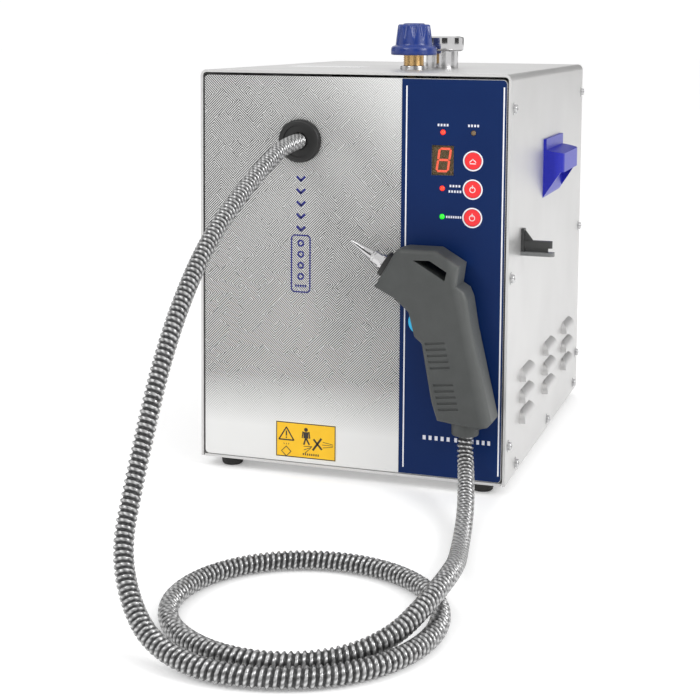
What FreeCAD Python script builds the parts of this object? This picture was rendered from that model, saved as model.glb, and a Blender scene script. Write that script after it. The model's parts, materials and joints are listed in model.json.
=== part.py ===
import FreeCAD, Part
import math
import os

# Compact commercial steam cleaner: a stainless cabinet with a vertical boiler, a control strip,
# a trigger gun on a metal-armoured hose, and two hand-turned caps on top.
# Frame: origin on the floor under the cabinet's centre, +X to the right, +Y to the back, +Z up.
# All sizes are millimetres.

V = FreeCAD.Vector

# ---------------------------------------------------------------- driving dimensions
CAB_W = 300.0           # cabinet width
CAB_D = 400.0           # cabinet depth
CAB_H = 375.0           # cabinet height above its feet
FOOT_H = 10.0           # foot height
SHEET = 1.2             # stainless sheet
HEM = 2.4               # folded edge of the cover and of the tray's front lip
HEM_DEPTH = 10.0        # how far the folded edge runs back
COVER_R = 6.0           # outer bend radius of the cover's two long edges
PANEL_GAP_SIDE = 1.5    # shadow gap between the cover's fold and a panel
PANEL_GAP_TOP = 2.5
PANEL_INSET = 1.0       # how far a panel's face stands behind the cover's edge
PANEL_FLANGE = 18.0     # depth of the panels' folded sides
PANEL_R = 4.0           # corner radius of the panels
TRAY_FLANGE = 16.0      # height of the base tray's sides
TRAY_GAP = 0.3          # tray side to cover side

X0, X1 = -CAB_W / 2, CAB_W / 2
Y0, Y1 = -CAB_D / 2, CAB_D / 2
Z0, Z1 = FOOT_H, FOOT_H + CAB_H
PANEL_X = CAB_W / 2 - HEM - PANEL_GAP_SIDE
PANEL_TOP = Z1 - HEM - PANEL_GAP_TOP
PANEL_BOT = Z0 + HEM + 0.4
FACE_Y = Y0 + PANEL_INSET           # outer face of the front panel
BACK_Y = Y1 - PANEL_INSET           # outer face of the rear panel
TRAY_TOP = Z0 + SHEET

# fastenings
SCREW_R = 1.95          # M4 shank
SCREW_HOLE_R = 2.25
WASHER_R = 5.5
WASHER_T = 0.8
HEAD_R = 3.9
HEAD_T = 2.6
SCREW_LEN = 10.0

# feet
FOOT_R = 11.5
FOOT_TIP_R = 10.0
FOOT_X = CAB_W / 2 - 25.0   # foot centres, set in from the cabinet's sides
FOOT_Y = CAB_D / 2 - 19.0   # and from its front and back
FOOT_STEM_R = 3.0

# louvres
LOUVRE_L = 52.0
LOUVRE_H = 12.0
LOUVRE_OUT = 6.0
LOUVRE_WALL = 1.0
LOUVRE_R = 10.0
LOUVRE_COLUMNS = (-138.0, -20.0, 90.0)     # front ends
LOUVRE_ROWS = (93.0, 72.5, 53.0)           # slit heights

# control strip
FILM_T = 0.4
STRIP_X0 = 49.0
WINDOW_X, WINDOW_Z = 87.8, 306.5
WINDOW_W, WINDOW_H = 20.6, 27.3
KEY_X = 115.9
KEY_Z = (306.8, 281.0, 255.3)
KEY_R = 7.6
KEY_CLEAR = 0.4
KEY_PROUD = 0.7
KEY_TRAVEL = 0.8
LED_R = 2.4
LED_CLEAR = 0.15
LED_RED = ((87.7, 332.0), (115.9, 332.0), (87.6, 281.0))
LED_GREEN = ((87.8, 255.2),)
BOARD_Y = FACE_Y + 11.0     # front face of the circuit board
BOARD_T = 1.6
SWITCH_H = 4.5
SWITCH_W = 6.0

# hose and its gland
HOSE_D = 15.0
GLAND_X, GLAND_Z = -49.0, 320.0
GLAND_R = 20.2
GLAND_T = 7.0
GLAND_BARREL_R = 14.0
GLAND_BORE_R = 8.2
GLAND_BARREL_L = 14.0   # barrel length behind the panel's face
NUT_T = 6.0
NUT_R = GLAND_BARREL_R + 5.0

# steam valve behind the gland
VALVE_Y0, VALVE_Y1 = FACE_Y + 37.0, FACE_Y + 69.0
PLUNGER_R = 5.0
PLUNGER_L = 28.0
PLUNGER_TRAVEL = 3.0    # room above the plunger in its bore

# boiler
BOILER_X, BOILER_Y = 37.0, -63.0
BOILER_R = 75.0
BOILER_WALL = 2.0
BOILER_Z0, BOILER_Z1 = 125.0, 310.0
DOME_H = 20.0
JACKET_T = 10.0
JACKET_Z0, JACKET_Z1 = 132.0, 300.0
STAND_R = 57.5
STAND_T = 2.5
PORT_CLEAR = 0.05

# what passes through the boiler's ends: x, y and radius
HEATER_R = 20.0
PROBE = (75.0, -63.0, 5.0)
SENSOR = (8.0, -28.0, 6.0)
RELIEF = (-4.0, -74.0, 6.0)
STEAM_PORT = (-2.0, -103.0, 4.0)
FEED_PORT = (85.0, -95.0, 4.0)
DRAIN_PORT = (12.0, -5.0, 4.0)

# caps on top
FILLER_X, FILLER_Y = 31.0, -96.0
FILLER_NECK_R = 10.0
FILLER_NECK_BORE = 7.0
FILLER_NECK_H = 28.0    # above the cover
FILLER_NUT_R, FILLER_NUT_T = FILLER_NECK_R + 3.5, 4.0
FILLER_CAP_LIFT = 14.0  # height of the cap's lower rim above the cover
FILLER_FLANGE_R, FILLER_FLANGE_T = 22.5, 9.0
FILLER_BODY_R0, FILLER_BODY_R1, FILLER_BODY_H = 18.0, 16.0, 21.0
FILLER_TOP_R, FILLER_TOP_T = 11.0, 2.0
FLUTES = 12
FLUTE_R = 2.4
CAP_CLEAR = 0.3         # cap bore to neck
SEAL_T = 2.0
SEAL_GAP = 0.05
RELEASE_X, RELEASE_Y = 42.5, -31.0
RELEASE_COLLAR_R, RELEASE_COLLAR_H = 16.5, 17.0
RELEASE_STUB_R, RELEASE_STUB_H = 12.0, 10.0
RELEASE_BORE = 7.0
RELEASE_STEM_R = 11.0
RELEASE_CAP_R, RELEASE_CAP_H = 22.0, 15.0

# water tank, its tubes and the feed pump
TANK_X0, TANK_X1 = -35.0, 138.0
TANK_Y0, TANK_Y1 = 45.0, 152.0
TANK_Z0, TANK_Z1 = 150.0, 340.0
TANK_WALL = 3.0
TUBE_R = 4.0
TANK_OUT = (-25.0, 98.0, TANK_Z0)
TANK_IN = (60.0, 130.0, TANK_Z1)
TANK_STAND_T = 2.0
PUMP_AT = V(-112.0, 98.0, 60.0)
PUMP_BODY_R = 11.0

# rear fittings
INLET_X, INLET_Z = 95.0, 60.0
INLET_R = 8.0
INLET_BORE = 4.1
INLET_DEPTH = 16.0
GLAND2_X, GLAND2_Z = -100.0, 60.0
GLAND2_BORE = 4.0
SWITCH_X, SWITCH_Z = -100.0, 120.0
SWITCH_HW, SWITCH_HH = 11.0, 15.0
ROCKER_TURN = 16.0
DRAIN_X, DRAIN_Z = 30.0, 42.0
DRAIN_R = 6.5

# side brackets
HOOD_Y0, HOOD_Y1 = -38.0, 58.0
HOOD_TOP = 316.0
HOOD_TIP = 257.0
HOOD_SHELF = 305.0
HOOD_SKIRT = 283.0
HOOD_OUT = 20.0
HOOD_T = 3.0
HOOD_R_FRONT, HOOD_R_BACK = 10.0, 12.0
HOOD_FALL = 3.0         # drop of the shelf over its width
HOOK_Y = -141.0
HOOK_W = 8.0
HOOK_Z0, HOOK_Z1 = 215.0, 240.0
HOOK_ARM_Z0, HOOK_ARM_Z1 = 222.5, 229.0
HOOK_OUT = 29.0
HOOK_T = 3.0

# gun: profile in the XZ plane, its mid-plane parallel to the front panel
GUN_Y = FACE_Y - 20.0       # mid-plane, in front of the panel
GUN_HALF = 17.0
GUN_WALL = 2.5
GRIP_DIR = V(-0.22, 0, 0.9755)
HOSE_END = V(117.0, GUN_Y, 72.0)
GUN_OUTLINE = ((34, 193), (54.5, 227.5), (60, 229), (91, 229), (113, 216), (110.5, 198), (117, 194),
               (120.5, 186), (125, 159), (144, 77), (140, 72.5), (131, 70), (94, 75), (88.5, 92), (79, 144),
               (72, 150), (66.5, 171.5), (54, 183))
GUN_CORE = ((34, 193), (54.5, 227.5), (100, 202), (119, 191), (125, 159), (143, 77), (131, 71), (94, 75),
            (88.5, 92), (79, 144), (72, 150), (66.5, 171.5), (54, 183))
GUN_LOOP = ((71, 219.5), (86, 220), (102, 210.5), (100, 202.5))
NOSE = V((GUN_OUTLINE[0][0] + GUN_OUTLINE[1][0]) / 2, GUN_Y, (GUN_OUTLINE[0][1] + GUN_OUTLINE[1][1]) / 2)
HEAD_DIR = V(GUN_OUTLINE[0][1] - GUN_OUTLINE[1][1], 0, GUN_OUTLINE[1][0] - GUN_OUTLINE[0][0]).normalize()
GUN_EDGE_R = 4.5
BOSSES = ((50.0, 194.0), (113.0, 150.0), (98.5, 92.0))
BOSS_R = 3.5
TRIGGER_AT = V(69.3, GUN_Y, 160.5)
TRIGGER_IN = V(0.9728, 0, 0.2316)      # direction of travel, into the grip
TRIGGER_DOWN = V(0.2316, 0, -0.9728)
TRIGGER_HALF_L = 9.0
TRIGGER_HALF_W = 7.0
TRIGGER_PROUD = 4.6
TRIGGER_TRAVEL = 4.0
TRIGGER_CLEAR = 0.4

# what stands in the gun's two ends, measured from its nose and its foot
NOZZLE_SPIGOT_R = 7.0
BOOT_SPIGOT_R = 9.5
BOOT_R = 13.0
BOOT_L = 11.0
NOZZLE_BACK = -4.0
COLLAR_L = 5.0
RING_L = 4.0
NOZZLE_R = 6.3
NOZZLE_BODY_END = 18.0
NOZZLE_TIP = 42.5

# route of the hose's centre line, from the gland to the gun
HOSE_ROUTE = (
    (-49, -196, 320), (-49, -238, 320), (-49, -296, 304), (-50, -355, 281), (-51, -413, 253),
    (-51, -462, 215), (-51, -500, 172), (-51, -526, 129), (-51, -547, 92), (-48, -571, 58),
    (-30, -594.5, 31), (-3, -617, 14), (38, -632, 8), (82, -630, 7.5), (124, -613, 7.5),
    (155, -580, 7.5), (170, -538, 7.5), (168, -494, 7.5), (149, -455, 7.5), (114, -426, 7.5),
    (69, -416, 7.5), (25, -426, 7.5), (-10, -454, 7.5), (-29, -495, 7.5), (-28, -540, 7.5),
    (-6, -579, 7.5), (35, -605.5, 7.5), (80, -608.5, 7.5), (122, -590, 9), (149, -559, 15),
    (162, -523, 26), (166, -486, 29.5), (164, -449, 26), (157.5, -411, 17.5), (149.5, -370, 11),
    (142, -328, 10.5), (135, -290, 15), (128, -259, 23.5), (121, -231.5, 34), (117, -219, 51),
    (117, -219, 72))


# ---------------------------------------------------------------- helpers
def box(xa, xb, ya, yb, za, zb):
    return Part.makeBox(xb - xa, yb - ya, zb - za, V(xa, ya, za))


def rod(at, along, radius, start, end):
    """Cylinder about the line through at, from start to end along it."""
    return Part.makeCylinder(radius, end - start, at + along * start, along)


def tube(at, along, inner, outer, start, end):
    return rod(at, along, outer, start, end).cut(rod(at, along, inner, start - 1, end + 1))


def prism(points, along):
    """Solid swept from a closed polygon of 3-D points."""
    wire = Part.makePolygon([V(*p) for p in points] + [V(*points[0])])
    return Part.Face(wire).extrude(along)


def profile_y(points, ya, yb):
    """Solid with an XZ outline between two depths."""
    return prism([(x, ya, z) for x, z in points], V(0, yb - ya, 0))


def revolve_z(points, x, y):
    """Solid of revolution about a vertical line, from (radius, height) points."""
    wire = Part.makePolygon([V(x + r, y, z) for r, z in points] + [V(x + points[0][0], y, points[0][1])])
    return Part.Face(wire).revolve(V(x, y, 0), V(0, 0, 1), 360)


def edges_along(shape, direction, test):
    """Straight edges parallel to a direction whose middle passes the test."""
    found = []
    for edge in shape.Edges:
        if edge.Curve.TypeId != "Part::GeomLine":
            continue
        run = edge.Vertexes[-1].Point - edge.Vertexes[0].Point
        if run.Length > 0.1 and run.cross(direction).Length < 1e-4 * run.Length and test(edge.CenterOfMass):
            found.append(edge)
    return found


def rounded(shape, radius, direction, test):
    return shape.makeFillet(radius, edges_along(shape, direction, test))


def smooth_path(points, share=0.45):
    """Straight runs joined by tangent arcs, with the radius and length of each."""
    edges, radii = [], []
    last = points[0]
    for i in range(1, len(points) - 1):
        a = points[i] - points[i - 1]
        b = points[i + 1] - points[i]
        turn = a.getAngle(b)
        cut = share * min(a.Length, b.Length)
        a.normalize()
        b.normalize()
        radius = cut / math.tan(turn / 2)
        begin, end = points[i] - a * cut, points[i] + b * cut
        inward = (b - a).normalize()
        centre = points[i] + inward * (radius / math.cos(turn / 2))
        edges.append(Part.LineSegment(last, begin).toShape())
        edges.append(Part.Arc(begin, centre - inward * radius, end).toShape())
        radii.append(radius)
        last = end
    edges.append(Part.LineSegment(last, points[-1]).toShape())
    return Part.Wire(edges), radii


def pipe(points, radius, share=0.45):
    path, radii = smooth_path([V(*p) for p in points], share)
    start = path.Edges[0]
    heading = start.tangentAt(start.FirstParameter)
    ring = Part.Wire(Part.makeCircle(radius, V(*points[0]), heading))
    solid = path.makePipeShell([ring], True, False)
    return solid, path.Length, radii


def save(name, shapes):
    """One STEP file per piece, or per group of like pieces."""
    items = shapes if isinstance(shapes, list) else [shapes]
    solids = [s for item in items for s in item.Solids]
    body = solids[0] if len(solids) == 1 else Part.makeCompound(solids)
    body.exportStep("parts/" + name + ".step")


X, Y, Z = V(1, 0, 0), V(0, 1, 0), V(0, 0, 1)


# ---------------------------------------------------------------- cabinet
def screw_places():
    """Where the cover is screwed to what stands behind it, on each side."""
    front = Y0 + 12.0
    back = Y1 - 10.0
    low = Z0 + 9.0
    mid = Z0 + CAB_H / 2 + 2.5
    high = Z1 - 31.0
    bottom = Z0 + 35.0
    places = [(front, z) for z in (high, mid, bottom)]
    places += [(back, z) for z in (high, mid, bottom + 7.0)]
    places += [(y, low) for y in (Y0 + 47.0, 10.0, Y1 - 24.0)]
    return places


def louvre(side, y, z):
    """One pressed louvre, open downwards: the bulge and the space inside it."""
    def bulge(wall, grow, reach):
        s = side
        outer = abs(X1) + LOUVRE_OUT - wall
        root = abs(X1) - reach
        top = z + LOUVRE_H - wall
        a, b = V(s * root, y, z - grow), V(s * outer, y, z - grow)
        c, d = V(s * abs(X1), y, top), V(s * root, y, top)
        mid = V(s * (abs(X1) + (LOUVRE_OUT - wall) * 0.74), y, z + (LOUVRE_H - wall) * 0.62)
        edges = [Part.LineSegment(a, b).toShape(), Part.Arc(b, mid, c).toShape(),
                 Part.LineSegment(c, d).toShape(), Part.LineSegment(d, a).toShape()]
        body = Part.Face(Part.Wire(edges)).extrude(V(0, LOUVRE_L, 0))
        ends = box(min(s * 140, s * 170), max(s * 140, s * 170), y + wall, y + LOUVRE_L - wall,
                   z - grow, z + LOUVRE_H - wall)
        ends = rounded(ends, LOUVRE_R - wall, X, lambda p: p.z > z + 1)
        return body.common(ends)
    return bulge(0, 0, SHEET * 0.5), bulge(LOUVRE_WALL, 0.5, SHEET + 1)


def shell_block(inset_x, inset_top, radius, ya, yb, low):
    """Block with the cover's rounded long edges."""
    block = box(X0 + inset_x, X1 - inset_x, ya, yb, low, Z1 - inset_top)
    return rounded(block, radius, Y, lambda p: p.z > Z1 - inset_top - 1)


def outer_cover():
    cover = shell_block(0, 0, COVER_R, Y0, Y1, Z0)
    cover = cover.cut(shell_block(SHEET, SHEET, COVER_R - SHEET, Y0 + HEM_DEPTH, Y1 - HEM_DEPTH, Z0 - 1))
    cover = cover.cut(shell_block(HEM, HEM, COVER_R - HEM, Y0 - 1, Y0 + HEM_DEPTH + 1, Z0 - 1))
    cover = cover.cut(shell_block(HEM, HEM, COVER_R - HEM, Y1 - HEM_DEPTH - 1, Y1 + 1, Z0 - 1))
    bulges, spaces = [], []
    for side in (-1, 1):
        for y in LOUVRE_COLUMNS:
            for z in LOUVRE_ROWS:
                skin, space = louvre(side, y, z)
                bulges.append(skin)
                spaces.append(space)
    cover = cover.fuse(bulges).cut(spaces)
    holes = [rod(V(0, y, z), X, SCREW_HOLE_R, X0 - 5, X1 + 5) for y, z in screw_places()]
    holes += [rod(V(0, y, z), X, SCREW_HOLE_R, X1 - 5, X1 + 5) for y, z in bracket_places()]
    holes.append(rod(V(FILLER_X, FILLER_Y, 0), Z, FILLER_NECK_R + 0.4, Z1 - 5, Z1 + 5))
    holes.append(rod(V(RELEASE_X, RELEASE_Y, 0), Z, RELEASE_STEM_R + 0.4, Z1 - 5, Z1 + 5))
    return cover.cut(holes)


def pan(face, inward):
    """A panel: a plate with four folded sides behind it."""
    ya, yb = sorted((face, face + inward * PANEL_FLANGE))
    block = box(-PANEL_X, PANEL_X, ya, yb, PANEL_BOT, PANEL_TOP)
    block = rounded(block, PANEL_R, Y, lambda p: True)
    ya, yb = sorted((face + inward * SHEET, face + inward * (PANEL_FLANGE + 1)))
    inner = box(-PANEL_X + SHEET, PANEL_X - SHEET, ya, yb, PANEL_BOT + SHEET, PANEL_TOP - SHEET)
    inner = rounded(inner, PANEL_R - SHEET, Y, lambda p: True)
    side_holes = [rod(V(0, y, z), X, SCREW_HOLE_R, X0 - 5, X1 + 5) for y, z in screw_places()]
    stem_holes = [rod(V(x, y, 0), Z, FOOT_STEM_R + 1.6, 0, Z0 + 20) for x, y in foot_places()]
    return block.cut([inner] + side_holes + stem_holes)


def leds():
    return LED_RED + LED_GREEN


def front_openings():
    """Everything that comes through the front panel and its film."""
    cuts = [box(WINDOW_X - WINDOW_W / 2, WINDOW_X + WINDOW_W / 2, Y0 - 5, Y0 + 5,
                WINDOW_Z - WINDOW_H / 2, WINDOW_Z + WINDOW_H / 2)]
    cuts += [rod(V(KEY_X, 0, z), Y, KEY_R + KEY_CLEAR, Y0 - 5, Y0 + 5) for z in KEY_Z]
    cuts += [rod(V(x, 0, z), Y, LED_R + LED_CLEAR, Y0 - 5, Y0 + 5) for x, z in leds()]
    return cuts


def front_panel():
    gland = rod(V(GLAND_X, 0, GLAND_Z), Y, GLAND_BARREL_R + 0.2, Y0 - 5, Y0 + 5)
    return pan(FACE_Y, 1).cut([gland] + front_openings())


def control_film():
    film = box(STRIP_X0, PANEL_X - 0.4, FACE_Y - FILM_T, FACE_Y, PANEL_BOT + 0.4, PANEL_TOP - 0.4)
    film = rounded(film, PANEL_R - 0.4, Y, lambda p: p.x > STRIP_X0 + 1)
    return film.cut(front_openings())


def base_tray():
    half = CAB_W / 2 - SHEET - TRAY_GAP
    plate = box(-half, half, Y0 + HEM_DEPTH, Y1 - HEM_DEPTH, Z0, TRAY_TOP)
    lips = [box(-PANEL_X, PANEL_X, Y0, Y0 + HEM_DEPTH, Z0, Z0 + HEM),
            box(-PANEL_X, PANEL_X, Y1 - HEM_DEPTH, Y1, Z0, Z0 + HEM)]
    reach = HEM_DEPTH + 2.0
    sides = [box(-half, -half + SHEET, Y0 + reach, Y1 - reach, Z0, Z0 + TRAY_FLANGE),
             box(half - SHEET, half, Y0 + reach, Y1 - reach, Z0, Z0 + TRAY_FLANGE)]
    tray = plate.fuse(lips + sides)
    holes = [rod(V(0, y, z), X, SCREW_HOLE_R, X0 - 5, X1 + 5) for y, z in screw_places() if z < Z0 + 15]
    holes += [rod(V(x, y, 0), Z, FOOT_STEM_R + 0.1, 0, Z0 + 5) for x, y in foot_places()]
    slots = [box(x, x + 40, y, y + 5, Z0 - 1, TRAY_TOP + 1)
             for x in (-110, -50, 10, 70) for y in (110, 125, 140)]
    return tray.cut(holes + slots)


def foot_places():
    return [(sx * FOOT_X, sy * FOOT_Y) for sx in (-1, 1) for sy in (-1, 1)]


def rubber_feet():
    """Push-in rubber feet, each with a stem that snaps through the tray."""
    points = ((0, 0), (FOOT_TIP_R - 1, 0), (FOOT_TIP_R, 1.0), (FOOT_R, FOOT_H - 1), (FOOT_R, FOOT_H),
              (FOOT_STEM_R, FOOT_H), (FOOT_STEM_R, TRAY_TOP + 0.2), (FOOT_STEM_R + 1.2, TRAY_TOP + 0.5),
              (FOOT_STEM_R - 0.6, TRAY_TOP + 4), (0, TRAY_TOP + 4))
    return [revolve_z(points, x, y) for x, y in foot_places()]


def pan_head_screw(at, out, length):
    """Pan-head cross-recessed screw with its washer, standing on a surface."""
    washer = tube(at, out, SCREW_HOLE_R, WASHER_R, 0, WASHER_T)
    head = rod(at, out, HEAD_R, WASHER_T, WASHER_T + HEAD_T)
    rim = [e for e in head.Edges if e.CenterOfMass.sub(at).dot(out) > WASHER_T + HEAD_T - 0.1]
    head = head.makeFillet(1.2, rim)
    side = V(0, 0, 1) if abs(out.z) < 0.5 else V(1, 0, 0)
    other = out.cross(side)
    top = at + out * (WASHER_T + HEAD_T - 1.0)
    for a, b in ((side, other), (other, side)):
        corner = top - a * 2.2 - b * 0.4
        slot = prism([tuple(corner), tuple(corner + a * 4.4), tuple(corner + a * 4.4 + b * 0.8),
                      tuple(corner + b * 0.8)], out * 2)
        head = head.cut(slot)
    shank = rod(at, out, SCREW_R, WASHER_T - length, WASHER_T + 0.5)
    return [washer, head.fuse(shank)]


def cover_screws():
    pieces = []
    for y, z in screw_places():
        for side, x in ((-1, X0), (1, X1)):
            pieces += pan_head_screw(V(x, y, z), X * side, SCREW_LEN)
    return pieces


def labels():
    caution = box(-73.6, -11.8, FACE_Y - 0.25, FACE_Y, 16.3, 52.0)
    caution = rounded(caution, 2.0, Y, lambda p: True)
    top = rounded(box(-112, -34, -69, -31, Z1, Z1 + 0.25), 2.0, Z, lambda p: True)
    return [caution, top]


# ---------------------------------------------------------------- control strip parts
def display_window():
    w, h = WINDOW_W / 2 - 0.2, WINDOW_H / 2 - 0.2
    return box(WINDOW_X - w, WINDOW_X + w, FACE_Y - FILM_T - 0.2, FACE_Y + 1.6, WINDOW_Z - h, WINDOW_Z + h)


def display_module():
    w, h = WINDOW_W / 2 - 0.4, WINDOW_H / 2 - 0.4
    return box(WINDOW_X - w, WINDOW_X + w, FACE_Y + 1.8, BOARD_Y, WINDOW_Z - h, WINDOW_Z + h)


def led(x, z):
    front = FACE_Y - FILM_T - 1.0
    body = rod(V(x, 0, z), Y, LED_R, front, BOARD_Y)
    rim = [e for e in body.Edges if e.CenterOfMass.y < front + 0.1]
    body = body.makeFillet(LED_R * 0.8, rim)
    return body.fuse(rod(V(x, 0, z), Y, LED_R + 0.5, BOARD_Y - 1.2, BOARD_Y))


def key_cap(z):
    front = FACE_Y - FILM_T - KEY_PROUD
    back = FACE_Y + SHEET
    cap = rod(V(KEY_X, 0, z), Y, KEY_R, front, back + 1.4)
    rim = [e for e in cap.Edges if e.CenterOfMass.y < front + 0.1]
    cap = cap.makeFillet(0.6, rim)
    flange = rod(V(KEY_X, 0, z), Y, KEY_R + 1.6, back + 0.4, back + 1.4)
    stem_end = BOARD_Y - SWITCH_H - KEY_TRAVEL - 0.1
    return cap.fuse([flange, rod(V(KEY_X, 0, z), Y, 2.0, back + 1, stem_end)])


def control_board():
    plate = box(72, 138, BOARD_Y, BOARD_Y + BOARD_T, 242, 346)
    corners = [(76, 247), (134, 247), (76, 341), (134, 341)]
    plate = plate.cut([rod(V(x, 0, z), Y, 1.6, BOARD_Y - 1, BOARD_Y + 3) for x, z in corners])
    half = SWITCH_W / 2
    switches = [box(KEY_X - half, KEY_X + half, BOARD_Y - SWITCH_H, BOARD_Y, z - half, z + half)
                for z in KEY_Z]
    posts = [tube(V(x, 0, z), Y, 1.6, 3.0, FACE_Y + SHEET, BOARD_Y) for x, z in corners]
    relays = [box(95, 112, BOARD_Y + BOARD_T, BOARD_Y + BOARD_T + 15, z, z + 19) for z in (250, 275)]
    return [plate] + switches + posts + relays


# ---------------------------------------------------------------- hose and its outlet
def hose_gland():
    at = V(GLAND_X, 0, GLAND_Z)
    flange = rod(at, Y, GLAND_R, FACE_Y - GLAND_T, FACE_Y)
    rim = [e for e in flange.Edges if e.CenterOfMass.y < FACE_Y - GLAND_T + 0.1]
    flange = flange.makeFillet(2.5, rim)
    dish = rod(at, Y, GLAND_R - 5.0, FACE_Y - GLAND_T - 1, FACE_Y - GLAND_T + 1.5)
    flange = flange.cut(dish)
    barrel = rod(at, Y, GLAND_BARREL_R, FACE_Y - 0.5, FACE_Y + GLAND_BARREL_L)
    return flange.fuse(barrel).cut(rod(at, Y, GLAND_BORE_R, Y0 - 20, Y0 + 30))


def gland_nut():
    at = V(GLAND_X, FACE_Y + SHEET, GLAND_Z)
    hexagon = [tuple(at + V(NUT_R * math.cos(math.radians(a)), 0, NUT_R * math.sin(math.radians(a))))
               for a in range(0, 360, 60)]
    return prism(hexagon, V(0, NUT_T, 0)).cut(rod(at, Y, GLAND_BARREL_R + 0.05, -1, NUT_T + 1))


def hose_fitting():
    """Brass swivel fitting between the hose's end and the steam valve."""
    at = V(GLAND_X, 0, GLAND_Z)
    start = HOSE_ROUTE[0][1]
    spigot = rod(at, Y, HOSE_D / 2, start, FACE_Y + GLAND_BARREL_L + 1)
    hexagon = [tuple(at + V(12 * math.cos(math.radians(a)), FACE_Y + GLAND_BARREL_L + 1,
                            12 * math.sin(math.radians(a)))) for a in range(0, 360, 60)]
    nut = prism(hexagon, V(0, 10, 0))
    neck = rod(at, Y, 6.0, FACE_Y + GLAND_BARREL_L + 10, VALVE_Y0)
    return spigot.fuse([nut, neck]).cut(rod(at, Y, 3.0, start - 1, VALVE_Y0 + 1))


def steam_valve():
    """Solenoid valve: brass body with a coil on top, hollow for its plunger."""
    x, z = GLAND_X, GLAND_Z
    body = box(x - 14, x + 14, VALVE_Y0, VALVE_Y1, z - 14, z + 12)
    yc = (VALVE_Y0 + VALVE_Y1) / 2
    coil = rod(V(x, yc, 0), Z, 15.5, z + 12, z + 48)
    bore = rod(V(x, yc, 0), Z, PLUNGER_R + 0.3, z + 6, z + 7 + PLUNGER_L + PLUNGER_TRAVEL)
    port = rod(V(x, 0, z), Y, 3.0, VALVE_Y0 - 1, VALVE_Y1 + 1)
    return body.fuse(coil).cut([bore, port])


def valve_plunger():
    yc = (VALVE_Y0 + VALVE_Y1) / 2
    return rod(V(GLAND_X, yc, 0), Z, PLUNGER_R, GLAND_Z + 6.2, GLAND_Z + 6.2 + PLUNGER_L)


def steam_hose():
    solid, length, radii = pipe(HOSE_ROUTE, HOSE_D / 2)
    section = math.pi * HOSE_D ** 2 / 4
    print("hose length %.1f, volume %.0f against %.0f" % (length, solid.Volume, section * length))
    print("hose radii", " ".join("%.0f" % r for r in radii))
    return solid


# ---------------------------------------------------------------- steam and water
def dome_z(radius_from_axis, top):
    """Height of the boiler's end at a radius."""
    sphere = (BOILER_R ** 2 + DOME_H ** 2) / (2 * DOME_H)
    rise = math.sqrt(sphere ** 2 - radius_from_axis ** 2) - (sphere - DOME_H)
    return BOILER_Z1 + rise if top else BOILER_Z0 - rise


def drum(radius, za, zb, rise):
    """Upright cylinder with domed ends."""
    sphere = (radius ** 2 + rise ** 2) / (2 * rise)
    at = V(BOILER_X, BOILER_Y, 0)
    body = rod(at, Z, radius, za - rise, zb + rise)
    top = Part.makeSphere(sphere, at + V(0, 0, zb + rise - sphere))
    low = Part.makeSphere(sphere, at + V(0, 0, za - rise + sphere))
    return body.common(top).common(low)


def boiler():
    shell = drum(BOILER_R, BOILER_Z0, BOILER_Z1, DOME_H)
    shell = shell.cut(drum(BOILER_R - BOILER_WALL, BOILER_Z0, BOILER_Z1, DOME_H - BOILER_WALL))
    high = BOILER_Z1 - 10
    holes = [rod(V(x, y, 0), Z, r + PORT_CLEAR, high, BOILER_Z1 + 40) for x, y, r in boiler_ports()]
    holes.append(rod(V(BOILER_X, BOILER_Y, 0), Z, HEATER_R + PORT_CLEAR, BOILER_Z0 - 30, BOILER_Z0))
    x, y, r = DRAIN_PORT
    holes.append(rod(V(x, y, 0), Z, r + PORT_CLEAR, BOILER_Z0 - 30, BOILER_Z0 + 5))
    return shell.cut(holes)


def boiler_ports():
    return [(FILLER_X, FILLER_Y, FILLER_NECK_R), (RELEASE_X, RELEASE_Y, RELEASE_STEM_R),
            PROBE, SENSOR, RELIEF, STEAM_PORT, FEED_PORT]


def boiler_jacket():
    at = V(BOILER_X, BOILER_Y, 0)
    return tube(at, Z, BOILER_R + 0.3, BOILER_R + 0.3 + JACKET_T, JACKET_Z0, JACKET_Z1)


def boiler_stand():
    at = V(BOILER_X, BOILER_Y, 0)
    top = dome_z(STAND_R - STAND_T, False) - 0.3
    ring = tube(at, Z, STAND_R - STAND_T, STAND_R, TRAY_TOP, top)
    foot = tube(at, Z, STAND_R - STAND_T, STAND_R + 12, TRAY_TOP, TRAY_TOP + 2)
    window_h = (top - TRAY_TOP) * 0.5
    windows = [box(BOILER_X - 25, BOILER_X + 25, BOILER_Y - 100, BOILER_Y + 100,
                   TRAY_TOP + 20, TRAY_TOP + 20 + window_h)]
    return ring.fuse(foot).cut(windows)


def heating_element():
    at = V(BOILER_X, BOILER_Y, 0)
    low = BOILER_Z0 - DOME_H
    plug = rod(at, Z, HEATER_R, low - 5, low + 8)
    flange = rod(at, Z, HEATER_R + 6, low - 7, low - 1)
    loops = []
    for turn in (-1, 1):
        y = BOILER_Y + turn * 8
        x = BOILER_X
        top = BOILER_Z0 + 90
        route = ((x - 12, y, low + 5), (x - 12, y, top - 3), (x - 5, y, top + 5), (x + 5, y, top + 5),
                 (x + 12, y, top - 3), (x + 12, y, low + 5))
        loops.append(pipe(route, 3.2)[0])
    return plug.fuse([flange] + loops)


def level_probe():
    x, y, r = PROBE
    top = dome_z(math.hypot(x - BOILER_X, y - BOILER_Y), True)
    stud = rod(V(x, y, 0), Z, r, top - 8, top + 6)
    cap = rod(V(x, y, 0), Z, r + 3, top + 4, top + 16)
    return stud.fuse([cap, rod(V(x, y, 0), Z, 1.5, BOILER_Z1 - 90, top)])


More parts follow.
